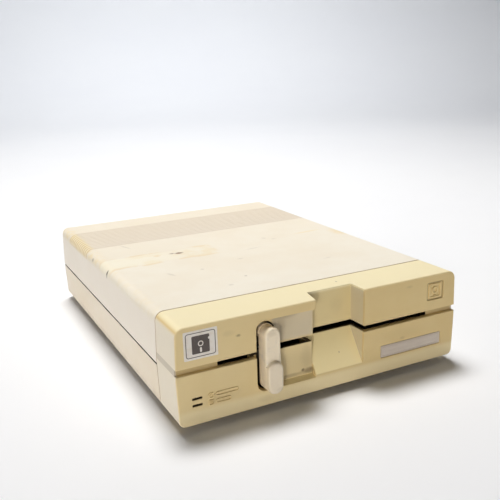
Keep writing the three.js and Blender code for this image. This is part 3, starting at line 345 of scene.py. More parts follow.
# Starts a finish and hands back the place in case millimetres
def startFinish(name, roughness=0.5, metallic=0.0):
    material = bpy.data.materials.new(name)
    material.use_nodes = True
    shader = material.node_tree.nodes["Principled BSDF"]
    shader.inputs["Roughness"].default_value = roughness
    shader.inputs["Metallic"].default_value = metallic
    source = material.node_tree.nodes.new("ShaderNodeTexCoord").outputs["Object"]
    where = add("Mapping", {"Vector": source, "Scale": [1 / mm] * 3,
                            "Location": (0, -frontPlane / mm, -caseFloor / mm)})[0]
    return material, where


def endFinish(material, colour, height, depth, roughness=None):
    tree = material.node_tree
    shader = tree.nodes["Principled BSDF"]
    tree.links.new(colour, shader.inputs["Base Color"])
    if roughness is not None:
        tree.links.new(roughness, shader.inputs["Roughness"])
    bump = add("Bump", {"Height": height, "Distance": depth * mm, "Strength": 0.6})
    tree.links.new(bump[0], shader.inputs["Normal"])
    return material


# Moulded plastic: unevenly aged, with specks, a fine spark texture, and the zones, marks, seams
# and painted light and shade of its look. The patterns are further places that its zones name
def mouldedFinish(name, look, patterns):
    material, where = startFinish(name)
    places = axes(where)
    places.update(patterns(where, **places))
    colour = smudged(look.base, fade(clouds(where, 55, 2), 0.35, 0.7), look.ageing, look.aged)
    colour = smudged(colour, fade(clouds(where, 9, 4, 0.6), 0.3, 0.75), 0.16, look.aged)
    colour = smudged(colour, fade(clouds(where, 0.9, 1), 0.74, 0.8), 0.12, (150, 130, 100))
    colour = zoned(colour, places, look, look.zones)
    colour = marked(colour, where, look, look.marks)
    colour = zoned(colour, places, look, look.seams)
    size, low, high = look.gloss
    gloss = fade(clouds(where, size, 3), 0.3, 0.7, low, high)
    return endFinish(material, colour, clouds(where, 0.35, 3, 0.65), look.grain, gloss)


ribs = Spec(start=172, count=13, pitch=4, groove=1.8, depth=0.26)
pale = ("x", -84.5, -87.5), ("z", 48.6, 56, 1.2), ("y", ribs.start, 222.6, 0.4)
coverLook = Spec(
    base=(239, 232, 216), aged=(231, 218, 194), ribTint=(232, 221, 207),
    sideTint=(238, 229, 216), streak=(242, 235, 213), rim=(228, 206, 160),
    brown=(126, 86, 44), strip=(244, 232, 192), valley=(212, 184, 136),
    yellow=(234, 214, 166), seam=(176, 138, 98), scuff=(176, 166, 150),
    crack=(70, 54, 40), parting=(58, 42, 30), ageing=0.35, grain=0.06,
    gloss=(14, 0.5, 0.62),
    zones=(
        ("sideTint", 0.8, ("z", 51.5, 47)),
        ("ribTint", 0.8, ("y", 170.6, 224, 0.8), ("z", 47, 51)),
        ("aged", 0.45, ("y", 60, 230), ("z", 47, 51)),
        ("yellow", 0.6, ("x", -82, -89), ("z", 47, 52), ("mottle", 0.45, 0.62),
         ("y", 120, 165, 0.25, 1)),
        # Painted light and shade of the ribs on the left rounded edge: paler rib tops, darker
        # grooves
        ("strip", 0.6, *pale),
        ("valley", 0.75, *pale, ("rib", 0.05, ribs.groove - 0.05, 0.15)),
        ("rim", 0.55, ("tape", 116.7, 142.8, 0.6), ("x", -110, -12, 1.5), ("patches", 0.42, 0.62),
         ("z", 49, 51.5)),
        ("streak", 0.75, ("tape", 119.7, 139.8, 1.4), ("x", -110, -14, 2.5),
         ("x", -20, -95, 0.35, 1), ("z", 49, 51.5)),
    ),
    marks=(
        ("brown", 1, (-38, 128.7, 55), (4, 2.6, 4)),
        ("brown", 0.7, (-42.5, 130, 55), (2.8, 1.8, 4)),
        ("rim", 0.6, (-53.3, 130, 55), (3.4, 3, 4)),
        ("yellow", 0.6, (87, 118, 55), (9, 15, 9)),
        ("yellow", 0.5, (66, 130.5, 55), (15, 2.2, 4), 4),
        ("scuff", 0.8, (-91, 155.5, 51.9), (1.8, 2.6, 1.8)),
        ("crack", 1, (-91.2, 120.3, 52), (2.2, 1.7, 4.6)),
        ("scuff", 0.3, (-65, 164, 55), (9.5, 1.3, 3), -72),
        ("scuff", 0.3, (-60, 86, 55), (1.8, 6, 3), 20),
        ("scuff", 0.35, (-39, 85.5, 55), (1.8, 1.8, 3)),
        ("scuff", 0.6, (-21.7, 58.8, 55), (1.3, 1.7, 3)),
        ("scuff", 0.3, (-36.8, 48.1, 55), (2.4, 1.8, 3)),
        ("scuff", 0.25, (-8, 93.6, 55), (3.2, 2, 3)),
        ("scuff", 0.25, (29.6, 131.5, 55), (2.2, 3, 3)),
        ("scuff", 0.25, (35, 126, 55), (3.2, 1.8, 3)),
        ("scuff", 0.25, (10.9, 111.4, 55), (8, 1.2, 3), 6),
        ("scuff", 0.25, (41.1, 64.2, 55), (5, 1.2, 3), 8),
    ),
    seams=(("seam", 0.9, ("y", 28.3, 29.22, 0.04)), ("parting", 0.9, ("z", 26.1, 25.95))),
)


def coverPatterns(where, x, y, z):
    return dict(
        rib=calc("MODULO", minus(y, ribs.start), ribs.pitch),
        tape=calc("ADD", y, both(clouds(where, 14, 3), 7.0)),
        mottle=clouds(where, 5, 4, 0.6), patches=clouds(where, 13, 3))


baseLook = Spec(
    base=(235, 224, 206), aged=(230, 214, 186), grime=(188, 168, 138),
    seam=(158, 122, 86), parting=(58, 42, 30), ageing=0.4, grain=0.06,
    gloss=(14, 0.5, 0.62),
    # The base is toned darker towards the bottom, in patches
    zones=(("grime", 0.45, ("z", 9, 1), ("patches", 0.3, 0.7)),),
    marks=(),
    seams=(("seam", 0.9, ("y", 28.3, 29.22, 0.04)), ("parting", 0.95, ("z", 24.87, 26.2, 0.04))),
)
lamps = Spec(x=(-83.7, -78), heights=(14.85, 11.1), high=1.25)
emblem = Spec(x=(69.9, 82.5), z=(39, 50.3), corner=1)
recessFloor = ("y", 2.2, 3.8), ("x", -34, -8, 1.5)
recessUpper = *recessFloor, ("z", 33.5, 50, 1.2)
bezelLook = Spec(
    base=(222, 198, 143), aged=(212, 184, 126), top=(243, 231, 191),
    side=(231, 222, 204), grey=(206, 194, 169), greyShade=(176, 162, 134),
    # On the next line, the notch's back tone is painted light, and the last tone serves for dirt
    # marks and for painted shade
    notchWall=(214, 202, 172), notchBack=(228, 212, 162), dirt=(112, 92, 66),
    # Painted light: the ramp tone and the tone after it are paler tones laid where more light falls
    ramp=(255, 236, 180), rub=(240, 226, 186), scuff=(150, 130, 98),
    # Painted shade: the first tone on the next line darkens the lamp windows, the lever's pocket
    # and the slot
    deep=(48, 36, 26), brown=(112, 74, 44), ageing=0.35, grain=0.07,
    gloss=(14, 0.5, 0.62),
    zones=(
        ("top", 0.92, ("z", 52.6, 54.4), ("y", 0.1, 1.2)),
        ("side", 0.92, ("outward", 90.4, 91.3), ("y", 0.2, 1.2)),
        # Painted light: the front face grows paler towards its left end, where more light falls
        ("rub", 0.2, ("x", 20, -90), ("y", 1.4, 0.2)),
        ("grey", 0.8, *recessUpper),
        # Painted light: the ramp is toned paler than the front, for light from above that the
        # notch's walls keep off it
        ("ramp", 0.95, ("x", -8.3, 23.2, 0.3), ("z", 9.7, 29.3, 0.2), ("y", 0.1, 0.6)),
        ("notchWall", 0.8, ("x", 23.2, 24.3, 0.1), ("y", 0.6, 2), ("z", 9, 54, 0.5)),
        # Painted light: the notch's back wall is toned paler, against the shade and reddish
        # reflected light in the notch
        ("notchBack", 0.6, ("y", 12.5, 14, 0.2), ("z", 32.7, 53.5, 0.3), ("x", -8.5, 24, 0.2)),
        # Painted light: the front's lowest strip, the recess floor and the top front edge are toned
        # paler, the edge as a painted highlight
        ("rub", 0.55, ("z", 10, 6.5), ("y", 1.5, 0.5)),
        ("rub", 0.3, *recessFloor, ("z", 9, 29, 0.5)),
        ("rub", 0.5, ("y", 0.05, 0.6, 0.1), ("z", 53.5, 54.3)),
        # Painted shade: the recess's upper floor darkens towards the lever at its left and the rim
        # at its top
        ("greyShade", 0.7, *recessUpper, ("x", -16, -33), ("z", 38, 49)),
        # Painted shade inside the lamp windows
        *[("deep", 0.9, ("x", *shrunk(lamps.x, -0.1), 0.05), ("y", 0.25, 0.4),
           ("z", *about(z, lamps.high / 2 + 0.05), 0.05)) for z in lamps.heights],
    ),
    marks=(
        ("dirt", 0.6, (-10.5, 4.5, 12), (7, 0.9, 2.6)),
        ("dirt", 0.35, (-22, 4.6, 11.4), (14, 0.8, 1.6)),
        ("dirt", 0.8, (-14.6, 4.5, 12.9), (1.4, 1, 1.4)),
        ("dirt", 0.6, (-9.3, 3.6, 12.6), (1.4, 1.6, 2.2)),
        ("scuff", 0.15, (-12, 4.5, 20), (6, 1, 9)),
        ("dirt", 0.35, (-24, 4.5, 48.5), (12, 1, 3)),
        ("scuff", 0.3, (-28, 4.5, 42), (4, 1, 9)),
        ("dirt", 0.55, (-56.2, 0, 44.6), (1.9, 1, 1.1)),
        ("scuff", 0.12, (-62, 0, 47), (5, 1, 2.4)),
        ("scuff", 0.2, (-66, 0, 12.6), (12, 1, 5)),
        ("dirt", 0.6, (-47.2, 0.6, 31.4), (1.4, 2, 1.2)),
        ("scuff", 0.14, (-40.3, 0, 4.2), (8, 1, 2.8)),
        ("scuff", 0.2, (56.2, 0, 50.6), (3.6, 1, 1.2)),
        ("scuff", 0.25, (51.9, 0, 19.3), (2.6, 1, 1.3)),
        ("dirt", 0.6, (23.2, 0, 45.6), (1, 1, 1)),
        ("brown", 0.9, (10.4, 6, 17.6), (0.7, 1.2, 0.8)),
        ("dirt", 0.6, (16, 1, 8.6), (0.6, 1, 1.4)),
        ("dirt", 0.5, (18.2, 20.3, 55), (0.9, 1.2, 1)),
        ("scuff", 0.08, (48, 0, 22), (22, 1, 6)),
        ("scuff", 0.1, (14, 13, 44), (7, 1, 8)),
    ),
    # Painted light and shade laid last: a pale ledge, shade in the groove, pocket and slot, a
    # shadow at the emblem's rim
    seams=(
        # Painted light: the ledge at the foot of the recess is toned pale, as if lit from above
        ("ramp", 0.9, ("x", -31, -8.5, 0.2), ("z", 8.5, 10, 0.1), ("y", 0.1, 0.3)),
        # Painted shade in the slot's groove, behind its lip
        ("dirt", 0.3, ("z", 29.1, 32.8, 0.1), ("y", 1.2, 2.4)),
        # Painted shade: a dark channel round the lever's pocket, and the inside of the slot
        ("deep", 0.9, ("y", 4.4, 5.4), ("x", -44.5, -31.5, 0.3), ("z", 7, 48, 0.3)),
        ("deep", 0.85, ("slotInside",), ("z", 29.15, 32.75, 0.05), ("x", -67.7, 71.5, 0.05)),
        # Painted shadow along the top and left edges of the emblem's recess
        ("dirt", 0.6, ("emblemRim",), ("y", 0.1, 0.5)),
    ),
)


# The slot's inside is masked for painted shade behind its groove, and behind the notch only past
# the notch's back wall
def bezelPatterns(where, x, y, z):
    besideNotch = minus(1.0, band(x, -8.9, 24.2, 0.1))
    slotInside = calc("MAXIMUM", both(besideNotch, fade(y, 2.6, 4)), fade(y, 13.1, 14))
    across, up = [sum(emblem[axis]) / 2 for axis in "xz"]
    half = [(emblem[axis][1] - emblem[axis][0]) / 2 for axis in "xz"]
    # The emblem's rim is made wider at its top and left, for a painted shadow there
    seat = plaque(x, z, (across, up), half, emblem.corner, 0.3)
    floor = plaque(x, z, (across + 0.15, up - 0.15), [h - 0.75 for h in half], 0.6, 0.35)
    return dict(outward=calc("ABSOLUTE", x), slotInside=slotInside,
                emblemRim=calc("SUBTRACT", seat, floor, True))


leverLook = Spec(
    base=(242, 228, 202), aged=(232, 212, 178), worn=(206, 200, 190),
    crack=(64, 48, 36), grime=(190, 172, 140), knob=(226, 212, 188), ageing=0.3,
    grain=0.03, gloss=(8, 0.36, 0.5),
    # Painted shade: the knob's front is toned darker than the bar
    zones=(("worn", 0.4, ("patches", 0.5, 0.75)), ("knob", 0.8, ("y", -5, -6))),
    marks=(
        ("crack", 0.95, (-33.6, -5.6, 20), (0.5, 0.5, 1.6)),
        ("grime", 0.3, (-36, -7.7, 12), (3, 1, 2)),
        ("grime", 0.3, (-39, -4.6, 43), (4, 1, 2)),
    ),
    seams=(),
)
sticker = Spec(
    x=(-86.9, -68.1), z=(36.8, 52.4), lift=0.12, margin=1.1, line=0.42, corner=1.4, curl=0.25,
    sleeve=4.9, hubUp=0.4, hub=(1.45, 0.95), paper=(229, 223, 215), stained=(214, 203, 184),
    ink=(74, 64, 60))


# A paper label with a printed frame and a plain drawing of a flexible disk in its sleeve
def stickerFinish():
    s = sticker
    material, where = startFinish("printedPaperLabel", 0.45)
    places = axes(where)
    centre = [sum(ends) / 2 for ends in (s.x, s.z)]

    def shape(across, up, half, corner):
        return plaque(places["x"], places["z"], (centre[0] + across, centre[1] + up), half, corner)

    half = [(ends[1] - ends[0]) / 2 - s.margin for ends in (s.x, s.z)]
    inside = [h - s.line for h in half]
    printed = minus(shape(0, 0, half, s.corner), shape(0, 0, inside, s.corner - s.line))
    hole, ring = [shape(0, s.hubUp, (radius + 0.05, radius + 0.05), radius) for radius in s.hub]
    cuts = calc("MAXIMUM", shape(0, -3, (0.55, 1.3), 0.5), shape(s.sleeve, 2.6, (0.7, 0.6), 0.3))
    gaps = calc("MAXIMUM", minus(hole, ring), cuts)
    sleeve = shape(0, 0, (s.sleeve, s.sleeve), 0.6)
    printed = calc("MAXIMUM", printed, minus(sleeve, gaps))
    worn = fade(clouds(where, 0.8, 4, 0.7), 0.25, 0.42, 0.75, 0.97)
    dirty = fade(clouds(where, 4, 4, 0.6), 0.4, 0.75, 0.0, 0.6)
    colour = blend(calc("MULTIPLY", printed, worn, True), blend(dirty, s.paper, s.stained), s.ink)
    return endFinish(material, colour, clouds(where, 0.5, 3), 0.02)


boardLook = Spec(mask=(40, 92, 58), deep=(26, 70, 44), track=(74, 132, 84),
                 solder=(186, 188, 182), grid=2.54)


# Green board with copper tracks under the lacquer and rows of soldered pads
def boardFinish():
    look = boardLook
    material, where = startFinish("circuitBoard", 0.35)
    places = axes(where)
    cell = [minus(calc("FRACT", calc("DIVIDE", places[axis], look.grid)), 0.5)
            for axis in "xy"]
    colour = blend(fade(clouds(where, 18), 0.35, 0.65), look.mask, look.deep)
    tracks = 0.0
    for across, stretch in zip(cell, ((1, 0.12, 1), (0.12, 1, 1))):
        line = fade(calc("ABSOLUTE", across), 0.16, 0.1)
        kept = fade(clouds(where, 3, 1, 0.5, stretch), 0.52, 0.55)
        tracks = calc("MAXIMUM", both(line, kept), tracks)
    colour = smudged(colour, tracks, 0.8, look.track)
    away = calc("SQRT", calc("ADD", *[both(across, across) for across in cell]))
    pads = both(fade(away, 0.3, 0.24), fade(clouds(where, 9, 2), 0.54, 0.58))
    colour = smudged(colour, pads, 0.9, look.solder)
    return endFinish(material, colour, calc("MAXIMUM", tracks, pads), 0.08)


ribbonLook = Spec(grey=(184, 186, 190), groove=(132, 134, 140), marker=(168, 60, 52),
                  pitch=1.27, zones=(("marker", 0.9, ("x", -47.2, -47.5)),))


def ribbonFinish():
    look = ribbonLook
    material, where = startFinish("ribbonGrey", 0.55)
    places = axes(where)
    wave = calc("ABSOLUTE", calc("SINE", both(places["x"], math.pi / look.pitch)))
    # Painted shade in the creases between the ribbon's wires
    colour = blend(fade(wave, 0.5, 0.05), look.grey, look.groove)
    colour = zoned(colour, places, look, look.zones)
    return endFinish(material, colour, wave, 0.25)


# A slightly uneven colour, for metal, rubber and small plastic pieces
def plainFinish(name, base, other, size=5, roughness=(0.4, 0.55), metallic=0.0, depth=0.03,
                grain=0.4, stretch=None):
    material, where = startFinish(name, roughness[0], metallic)
    patches = fade(clouds(where, size, 4, 0.6, stretch), 0.3, 0.7)
    colour = smudged(base, patches, 0.6, other)
    gloss = fade(clouds(where, size / 2, 3), 0.3, 0.7, *roughness)
    return endFinish(material, colour, clouds(where, grain, 3, 0.6, stretch), depth, gloss)


# Every finish under the name of its slot
finishes = dict(
    cream_shell=mouldedFinish("creamShellPlastic", coverLook, coverPatterns),
    cream_base=mouldedFinish("creamBasePlastic", baseLook,
                             lambda where, x, y, z: dict(patches=clouds(where, 12, 4))),
    aged_bezel=mouldedFinish("agedBezelPlastic", bezelLook, bezelPatterns),
    lever_plastic=mouldedFinish("leverPlastic", leverLook,
                                lambda where, x, y, z: dict(patches=clouds(where, 4, 3))),
    paper=stickerFinish(), circuit_board=boardFinish(), ribbon_grey=ribbonFinish(),
    badge_plate=plainFinish(
        "badgeMetal", (206, 194, 180), (192, 178, 165), size=2.5, roughness=(0.38, 0.5),
        metallic=0.35, depth=0.02, grain=0.3, stretch=(0.12, 1, 1)),
    rubber_foot=plainFinish("footRubber", (38, 36, 35), (62, 58, 54), roughness=(0.75, 0.9)),
    plated_steel=plainFinish("platedSteel", (188, 190, 192), (160, 161, 164), size=3,
                             roughness=(0.28, 0.45), metallic=1.0, depth=0.01, grain=0.3),
    cast_alloy=plainFinish("castAlloy", (172, 174, 176), (150, 150, 152), size=8,
                           roughness=(0.42, 0.6), metallic=0.85, depth=0.08, grain=0.8),
    brass=plainFinish("contactBrass", (206, 178, 110), (176, 146, 84), size=2,
                      roughness=(0.25, 0.4), metallic=1.0, depth=0.01, grain=0.3),
    white_nylon=plainFinish("whiteNylon", (232, 229, 220), (220, 214, 198)),
    black_plastic=plainFinish("blackPlastic", (30, 30, 32), (48, 47, 48), roughness=(0.4, 0.6)),
    green_lamp=plainFinish("greenLampLens", (20, 22, 15), (14, 15, 10), 3, (0.2, 0.35)),
    red_lamp=plainFinish("redLampLens", (32, 18, 14), (22, 12, 10), 3, (0.2, 0.35)))
for entry in frame["record"]["materials"]:
    for name in entry.get("nodes", []):
        for held in frame["nodes"][name].material_slots:
            held.material = finishes[entry["slot"]]
print("finishes mixed")


# Gives a piece the finish of its slot and its body, and hides the node that it stands in for
def fit(piece, slot=None, instead=None, body="case", finish=None):
    piece.data.materials.clear()
    piece.data.materials.append(finishes[finish or slot])
    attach(piece, body)
    if instead:
        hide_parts(instead)


# The case with its draft and rounded edges, from which cover, base and bezel are made
def caseForm(name, front, back, inset=0, rear=True):
    half, high, parting = halfWidth - inset, case.height - inset, case.parting
    form = addBlock(name, (-half, half), (front, back), (inset, high))
    sliceAt(form, "z", parting)
    for sign in (1, -1):
        moveParts(form, lambda co: co.x * sign > 0 and abs(co.z - parting) > 1,
                  x=-sign * case.draft)
    if rear:
        roundEdges(form, lambda e: middle(e).y > back - near and abs(middle(e).x) > half - 1
                   and abs(e.verts[0].co.z - e.verts[1].co.z) > mm, case.rearRadius - inset, 8)
    for level, radius in ((high, case.topRadius), (inset, case.footRadius)):
        roundEdges(form, lambda e: allAt(e, "z", level) and middle(e).y > front + near
                   and (rear or runs(e, "y")), radius - inset, 8)
    return form


# Half of the case behind the bezel: a thin shell, open in front and at the parting line
def halfShell(name, **clear):
    shell = caseForm(name, bezel.depth, case.depth)
    sliceAt(shell, "z", case.parting, **clear)
    removeFaces(shell, lambda f: middle(f).y < bezel.depth + near)
    return applied(shell, "SOLIDIFY", thickness=case.wall * mm, offset=-1, use_even_offset=True)


# The step round the front edge of cover and base that leaves the shadow line
def frontSeam(piece):
    front, deep = bezel.depth, case.frontSeam
    ring = addBlock("seamRing", about(0, halfWidth + 2), (front - 1, front + deep),
                    (-2, case.height + 2))
    core = caseForm("seamCore", front - 3, front + 3, deep, rear=False)
    carve(piece, carve(ring, core))


boss = Spec(x=81, y=(36.4, 238), radius=4.2, length=27.8, bore=1.8, pilot=(25, 11.2))


def makeTopCover():
    cover = halfShell("topCover", clear_inner=True)
    starts = [ribs.start + i * ribs.pitch for i in range(ribs.count)]
    for start in starts:
        sliceAt(cover, "y", start)
        sliceAt(cover, "y", start + ribs.groove)

    def inGroove(face):
        at = middle(face)
        outside = face.normal.z > 0.02 and at.z > 50
        return outside and any(0 < at.y - start < ribs.groove for start in starts)

    pick(cover, "FACE", inGroove)
    bpy.ops.mesh.extrude_region_shrink_fatten(
        TRANSFORM_OT_shrink_fatten={"value": -ribs.depth * mm, "use_even_offset": True})
    done()
    frontSeam(cover)
    for x in (-boss.x, boss.x):
        for y in boss.y:
            weld(cover, addRod("boss", "z", (x, y, case.parting), boss.radius, boss.length, 32))
            carve(cover, addRod("pilot", "z", (x, y, boss.pilot[0]), boss.bore, boss.pilot[1], 24))
    return soften(cover, case.softEdge, 2)


# Each tongue that reaches under cover and base is an end in depth and its two heights
bezel = Spec(
    depth=28.4, face=3.2, frontEdge=0.7, tubWall=2.2,
    slotEnds=(-67.6, 71.4), slot=(29.2, 32.7), groove=2.5, lip=0.8,
    notchFront=(-8.9, 24.0), notchBack=(-6.3, 23.5), notchDepth=13, ramp=(-8.5, 23.6), rampFoot=9.5,
    recess=(-45.7, -8.49), recessHeight=(8.8, 49.5), recessDepth=4.5, recessRadius=5,
    ledge=-28.5, ledgeRise=1.1, shaftBore=1.9,
    pocketX=-38.1, pocketLow=7.95, pivot=41.4, pocketRadius=5.8, pocketDepth=9.5,
    tongueX=(-50, 50), tongueHalf=10, tongueStart=22.4,
    tongues=((35.4, (50.2, 52.2)), (28.4, (50.5, 53.5)), (35.4, (2.8, 4.8)), (28.4, (1.5, 4.5))),
)
badge = Spec(x=(36.2, 81.4), z=(9.6, 17.4), recess=0.8, thick=0.7, gap=0.3, corner=0.8,
             engraved=0.8, line=0.22)


# An upright slot with round ends: a rod pulled apart along z
def addStadium(name, x, low, high, radius, y, sides=48):
    bar = addRod(name, "y", (x, y[0], high - radius), radius, y[1] - y[0], sides)
    sliceAt(bar, "z", high - radius)
    moveParts(bar, lambda co: co.z < high - radius - near, z=low + 2 * radius - high)
    return bar


def roundedPlate(name, x, y, z, corner):
    plate = addBlock(name, x, y, z)
    roundEdges(plate, lambda e: runs(e, "y"), corner, 6)
    return plate


# A raised or sunk outline: one rounded plate with a smaller one taken out
def roundedOutline(name, x, z, y, corner, line):
    plate = roundedPlate(name, x, y, z, corner)
    hole = roundedPlate("hole", shrunk(x, line), shrunk(y, -1), shrunk(z, line),
                        max(corner - line, 0.05))
    return carve(plate, hole)


def ringAt(name, x, z, y, outer, inner, sides=48):
    ring = addRod(name, "y", (x, y[0], z), outer, y[1] - y[0], sides)
    return carve(ring, addRod("bore", "y", (x, y[0] - 1, z), inner, y[1] - y[0] + 2, sides))


# The room that the notch, the recess and the lever's pocket need inside the bezel
def bezelTubs(height, pocketTop):
    b, tub = bezel, bezel.tubWall
    notch = addBlock("notchTub", shrunk(b.notchFront, -tub), (0, b.notchDepth + tub),
                     (b.slot[0] - tub, height))
    moveParts(notch, lambda co: co.y < 1 and co.z < height - 1, z=b.rampFoot - b.slot[0])
    recess = addBlock("recessTub", (b.recess[0] - tub, b.recess[1]), (0, b.recessDepth + tub),
                      shrunk(b.recessHeight, -tub))
    pocket = addStadium("pocketTub", b.pocketX, b.pocketLow - tub, pocketTop + tub,
                        b.pocketRadius + tub, (0, b.pocketDepth + tub))
    return notch, recess, pocket


def makeFrontBezel():
    b, height = bezel, case.height
    low, pocketTop, beyond = b.slot[0], b.pivot + b.pocketRadius, (-120, 120)
    piece = caseForm("frontBezel", 0, b.depth, rear=False)
    roundEdges(piece, lambda e: allAt(e, "y", 0), b.frontEdge, 4)
    hollow = caseForm("bezelInside", b.face, b.depth + 2, case.wall, rear=False)
    carve(piece, carve(hollow, *bezelTubs(height, pocketTop)))
    for x in b.tongueX:
        weld(piece, *[addBlock("tongue", about(x, b.tongueHalf), (b.tongueStart, end), heights)
                      for end, heights in b.tongues])
    notch = addBlock("notch", b.notchFront, (0, b.notchDepth), (low, height + 2))
    for i, sign in enumerate((-1, 1)):
        moveParts(notch, lambda co: co.y > 1 and (co.x - sum(b.ramp) / 2) * sign > 0,
                  x=b.notchBack[i] - b.notchFront[i])
    moveParts(notch, lambda co: co.y < 1, y=-1)
    slope = (low - b.rampFoot) / b.notchDepth
    ramp = addBlock("ramp", b.ramp, (-1, b.notchDepth), (b.rampFoot - slope, b.slot[1]))
    moveParts(ramp, lambda co: co.y > 1 and co.z < low, z=low - b.rampFoot + slope)
    recess = addBlock("recess", b.recess, (-1, b.recessDepth), b.recessHeight)
    roundEdges(recess, lambda e: runs(e, "y") and middle(e).x < -40, b.recessRadius, 8)
    opening = addBlock("recessSide", (b.recess[1] - 1, b.notchBack[0]), (-1, b.recessDepth),
                       (low, b.recessHeight[1]))
    pocket = addStadium("pocket", b.pocketX, b.pocketLow, pocketTop, b.pocketRadius,
                        (b.recessDepth - 1, b.pocketDepth))
    bore = addRod("shaftBore", "y", (b.pocketX, 5, b.pivot), b.shaftBore, 20, 24)
    slot = addBlock("slot", b.slotEnds, (-1, b.depth + 1), b.slot)
    groove = addBlock("groove", beyond, (0, b.groove), b.slot)
    lip = addBlock("lip", beyond, (0, b.lip), (low - b.lip, low + 0.5))
    moveParts(lip, lambda co: co.y > b.lip / 2 and co.z < low, z=b.lip)
    moveParts(lip, lambda co: co.y < b.lip / 2, y=-1)
    moveParts(groove, lambda co: co.y < 1, y=-1)
    carve(piece, notch, ramp, recess, opening, pocket, bore, slot, groove, lip)
    foot = b.recessHeight[0]
    ledge = addBlock("ledge", (b.ledge, b.recess[1]), (0.2, b.recessDepth + 0.5),
                     (foot - 0.5, foot + b.ledgeRise))
    moveParts(ledge, lambda co: co.y < 1 and co.z > foot + 0.5, z=-b.ledgeRise)
    weld(piece, ledge)
    for z in lamps.heights:
        carve(piece, addBlock("lampWindow", lamps.x, (-1, b.face + 1), about(z, lamps.high / 2)))
    for name, seat in (("badgeSeat", badge), ("emblemSeat", emblem)):
        carve(piece, roundedPlate(name, seat.x, (-1, badge.recess), seat.z, seat.corner))
    return soften(piece, case.softEdge, 2)


tray = Spec(
    floor=1.25, screwSeat=8, well=3.2,
    pillarX=66, pillarY=(70, 185), pillar=5, pillarTop=20, pillarSeat=9,
    standoffX=(-56, 46), standoffY=(108, 227.5), standoff=3, standoffTop=5.5, peg=1.1, pegTop=7.9,
    footX=74, footY=(50, 218), footWell=7.8, footSeat=0.8,
    vents=14, ventPitch=6, ventHalf=1.2, ventY=(125, 155),
    sockets=(-50, -28, 38), socketHole=8, socketZ=15.7,
    windows=(((56.2, 71.8), (4.9, 23.5)), ((0.9, 9.1), (7.9, 13.3))),
)


# Places at both sides, in front and at the rear
def fourPlaces(x, ys):
    return [(sign * x, y) for y in ys for sign in (-1, 1)]


def rods(name, places, low, high, radius, sides=40):
    return asOne(name, *[addRod(name, "z", (x, y, low), radius, high - low, sides)
                         for x, y in places])


def makeBaseTray():
    t, rear, parting, deep = tray, case.depth, case.parting, case.seamDepth
    base = halfShell("baseTray", clear_outer=True)
    bosses, pillars = fourPlaces(boss.x, boss.y), fourPlaces(t.pillarX, t.pillarY)
    standoffs = [(x, y) for x in t.standoffX for y in t.standoffY]
    posts = asOne("posts", rods("bosses", bosses, t.floor, parting, boss.radius),
                  rods("pillars", pillars, t.floor, t.pillarTop, t.pillar),
                  rods("standoffs", standoffs, t.floor, t.standoffTop, t.standoff))
    weld(base, posts, rods("pegs", standoffs, t.floor, t.pegTop, t.peg, 24))
    vent = addBlock("vent", about(0, t.ventHalf), t.ventY, (-1, case.wall + 1))
    roundEdges(vent, lambda e: runs(e, "z"), t.ventHalf - 0.02, 5)
    vents = [copied(vent, "vent", x=(i - (t.vents - 1) / 2) * t.ventPitch) for i in range(t.vents)]
    bpy.data.objects.remove(vent)
    openings = asOne(
        "openings", rods("bossWells", bosses, -1, t.screwSeat, t.well),
        rods("pillarWells", pillars, -1, t.pillarSeat, t.well),
        rods("footWells", fourPlaces(t.footX, t.footY), -1, t.footSeat, t.footWell, 64), *vents,
        *[addRod("hole", "y", (x, rear - 4, t.socketZ), t.socketHole, 6, 72) for x in t.sockets],
        *[addBlock("hole", x, (rear - 4, rear + 2), z) for x, z in t.windows])
    shanks = asOne("shanks", rods("bossShanks", bosses, -1, parting + 1, boss.bore, 24),
                   rods("pillarShanks", pillars, -1, t.pillarTop + 1, boss.bore, 24))
    seam = addBlock("partingSeam", about(0, halfWidth + 2), (10, rear + 2),
                    (parting - case.seamWidth, parting + 1))
    core = addBlock("seamCore", about(0, halfWidth - deep), (5, rear - deep), about(parting, 3))
    roundEdges(core, lambda e: runs(e, "z") and middle(e).y > 100, case.rearRadius - deep, 8)
    carve(base, openings, shanks, carve(seam, core))
    frontSeam(base)
    return soften(base, case.softEdge, 2)


for make, slot, node in ((makeFrontBezel, "aged_bezel", "front_bezel"),
                         (makeTopCover, "cream_shell", "top_cover"),
                         (makeBaseTray, "cream_base", "base_tray")):
    fit(make(), slot, node)
    print(node, "modelled")

foot = Spec(radius=7.5, low=-4, high=0.8, edge=0.6, rim=2.4, dimple=0.5, dimpleRim=0.3)


def makeFoot():
    s = foot
    piece = addRod("foot", "z", (0, 0, s.low), s.radius, s.high - s.low, 64)
    pick(piece, "FACE", lambda face: face.normal.z < -0.9)
    bpy.ops.mesh.inset(thickness=s.rim * mm)
    extrudeUp(s.dimple * mm)
    bpy.ops.mesh.inset(thickness=s.dimpleRim * mm)
    done()
    roundEdges(piece, lambda e: allAt(e, "z", s.low)
               and all(onCase(v.co).xy.length > s.radius - 0.1 for v in e.verts), s.edge, 4)
    return soften(piece, 0.15, 2)


screw = Spec(head=2.9, headHigh=2.1, edge=0.7, shank=1.5, slot=(2.0, 0.4), slotDeep=0.9)


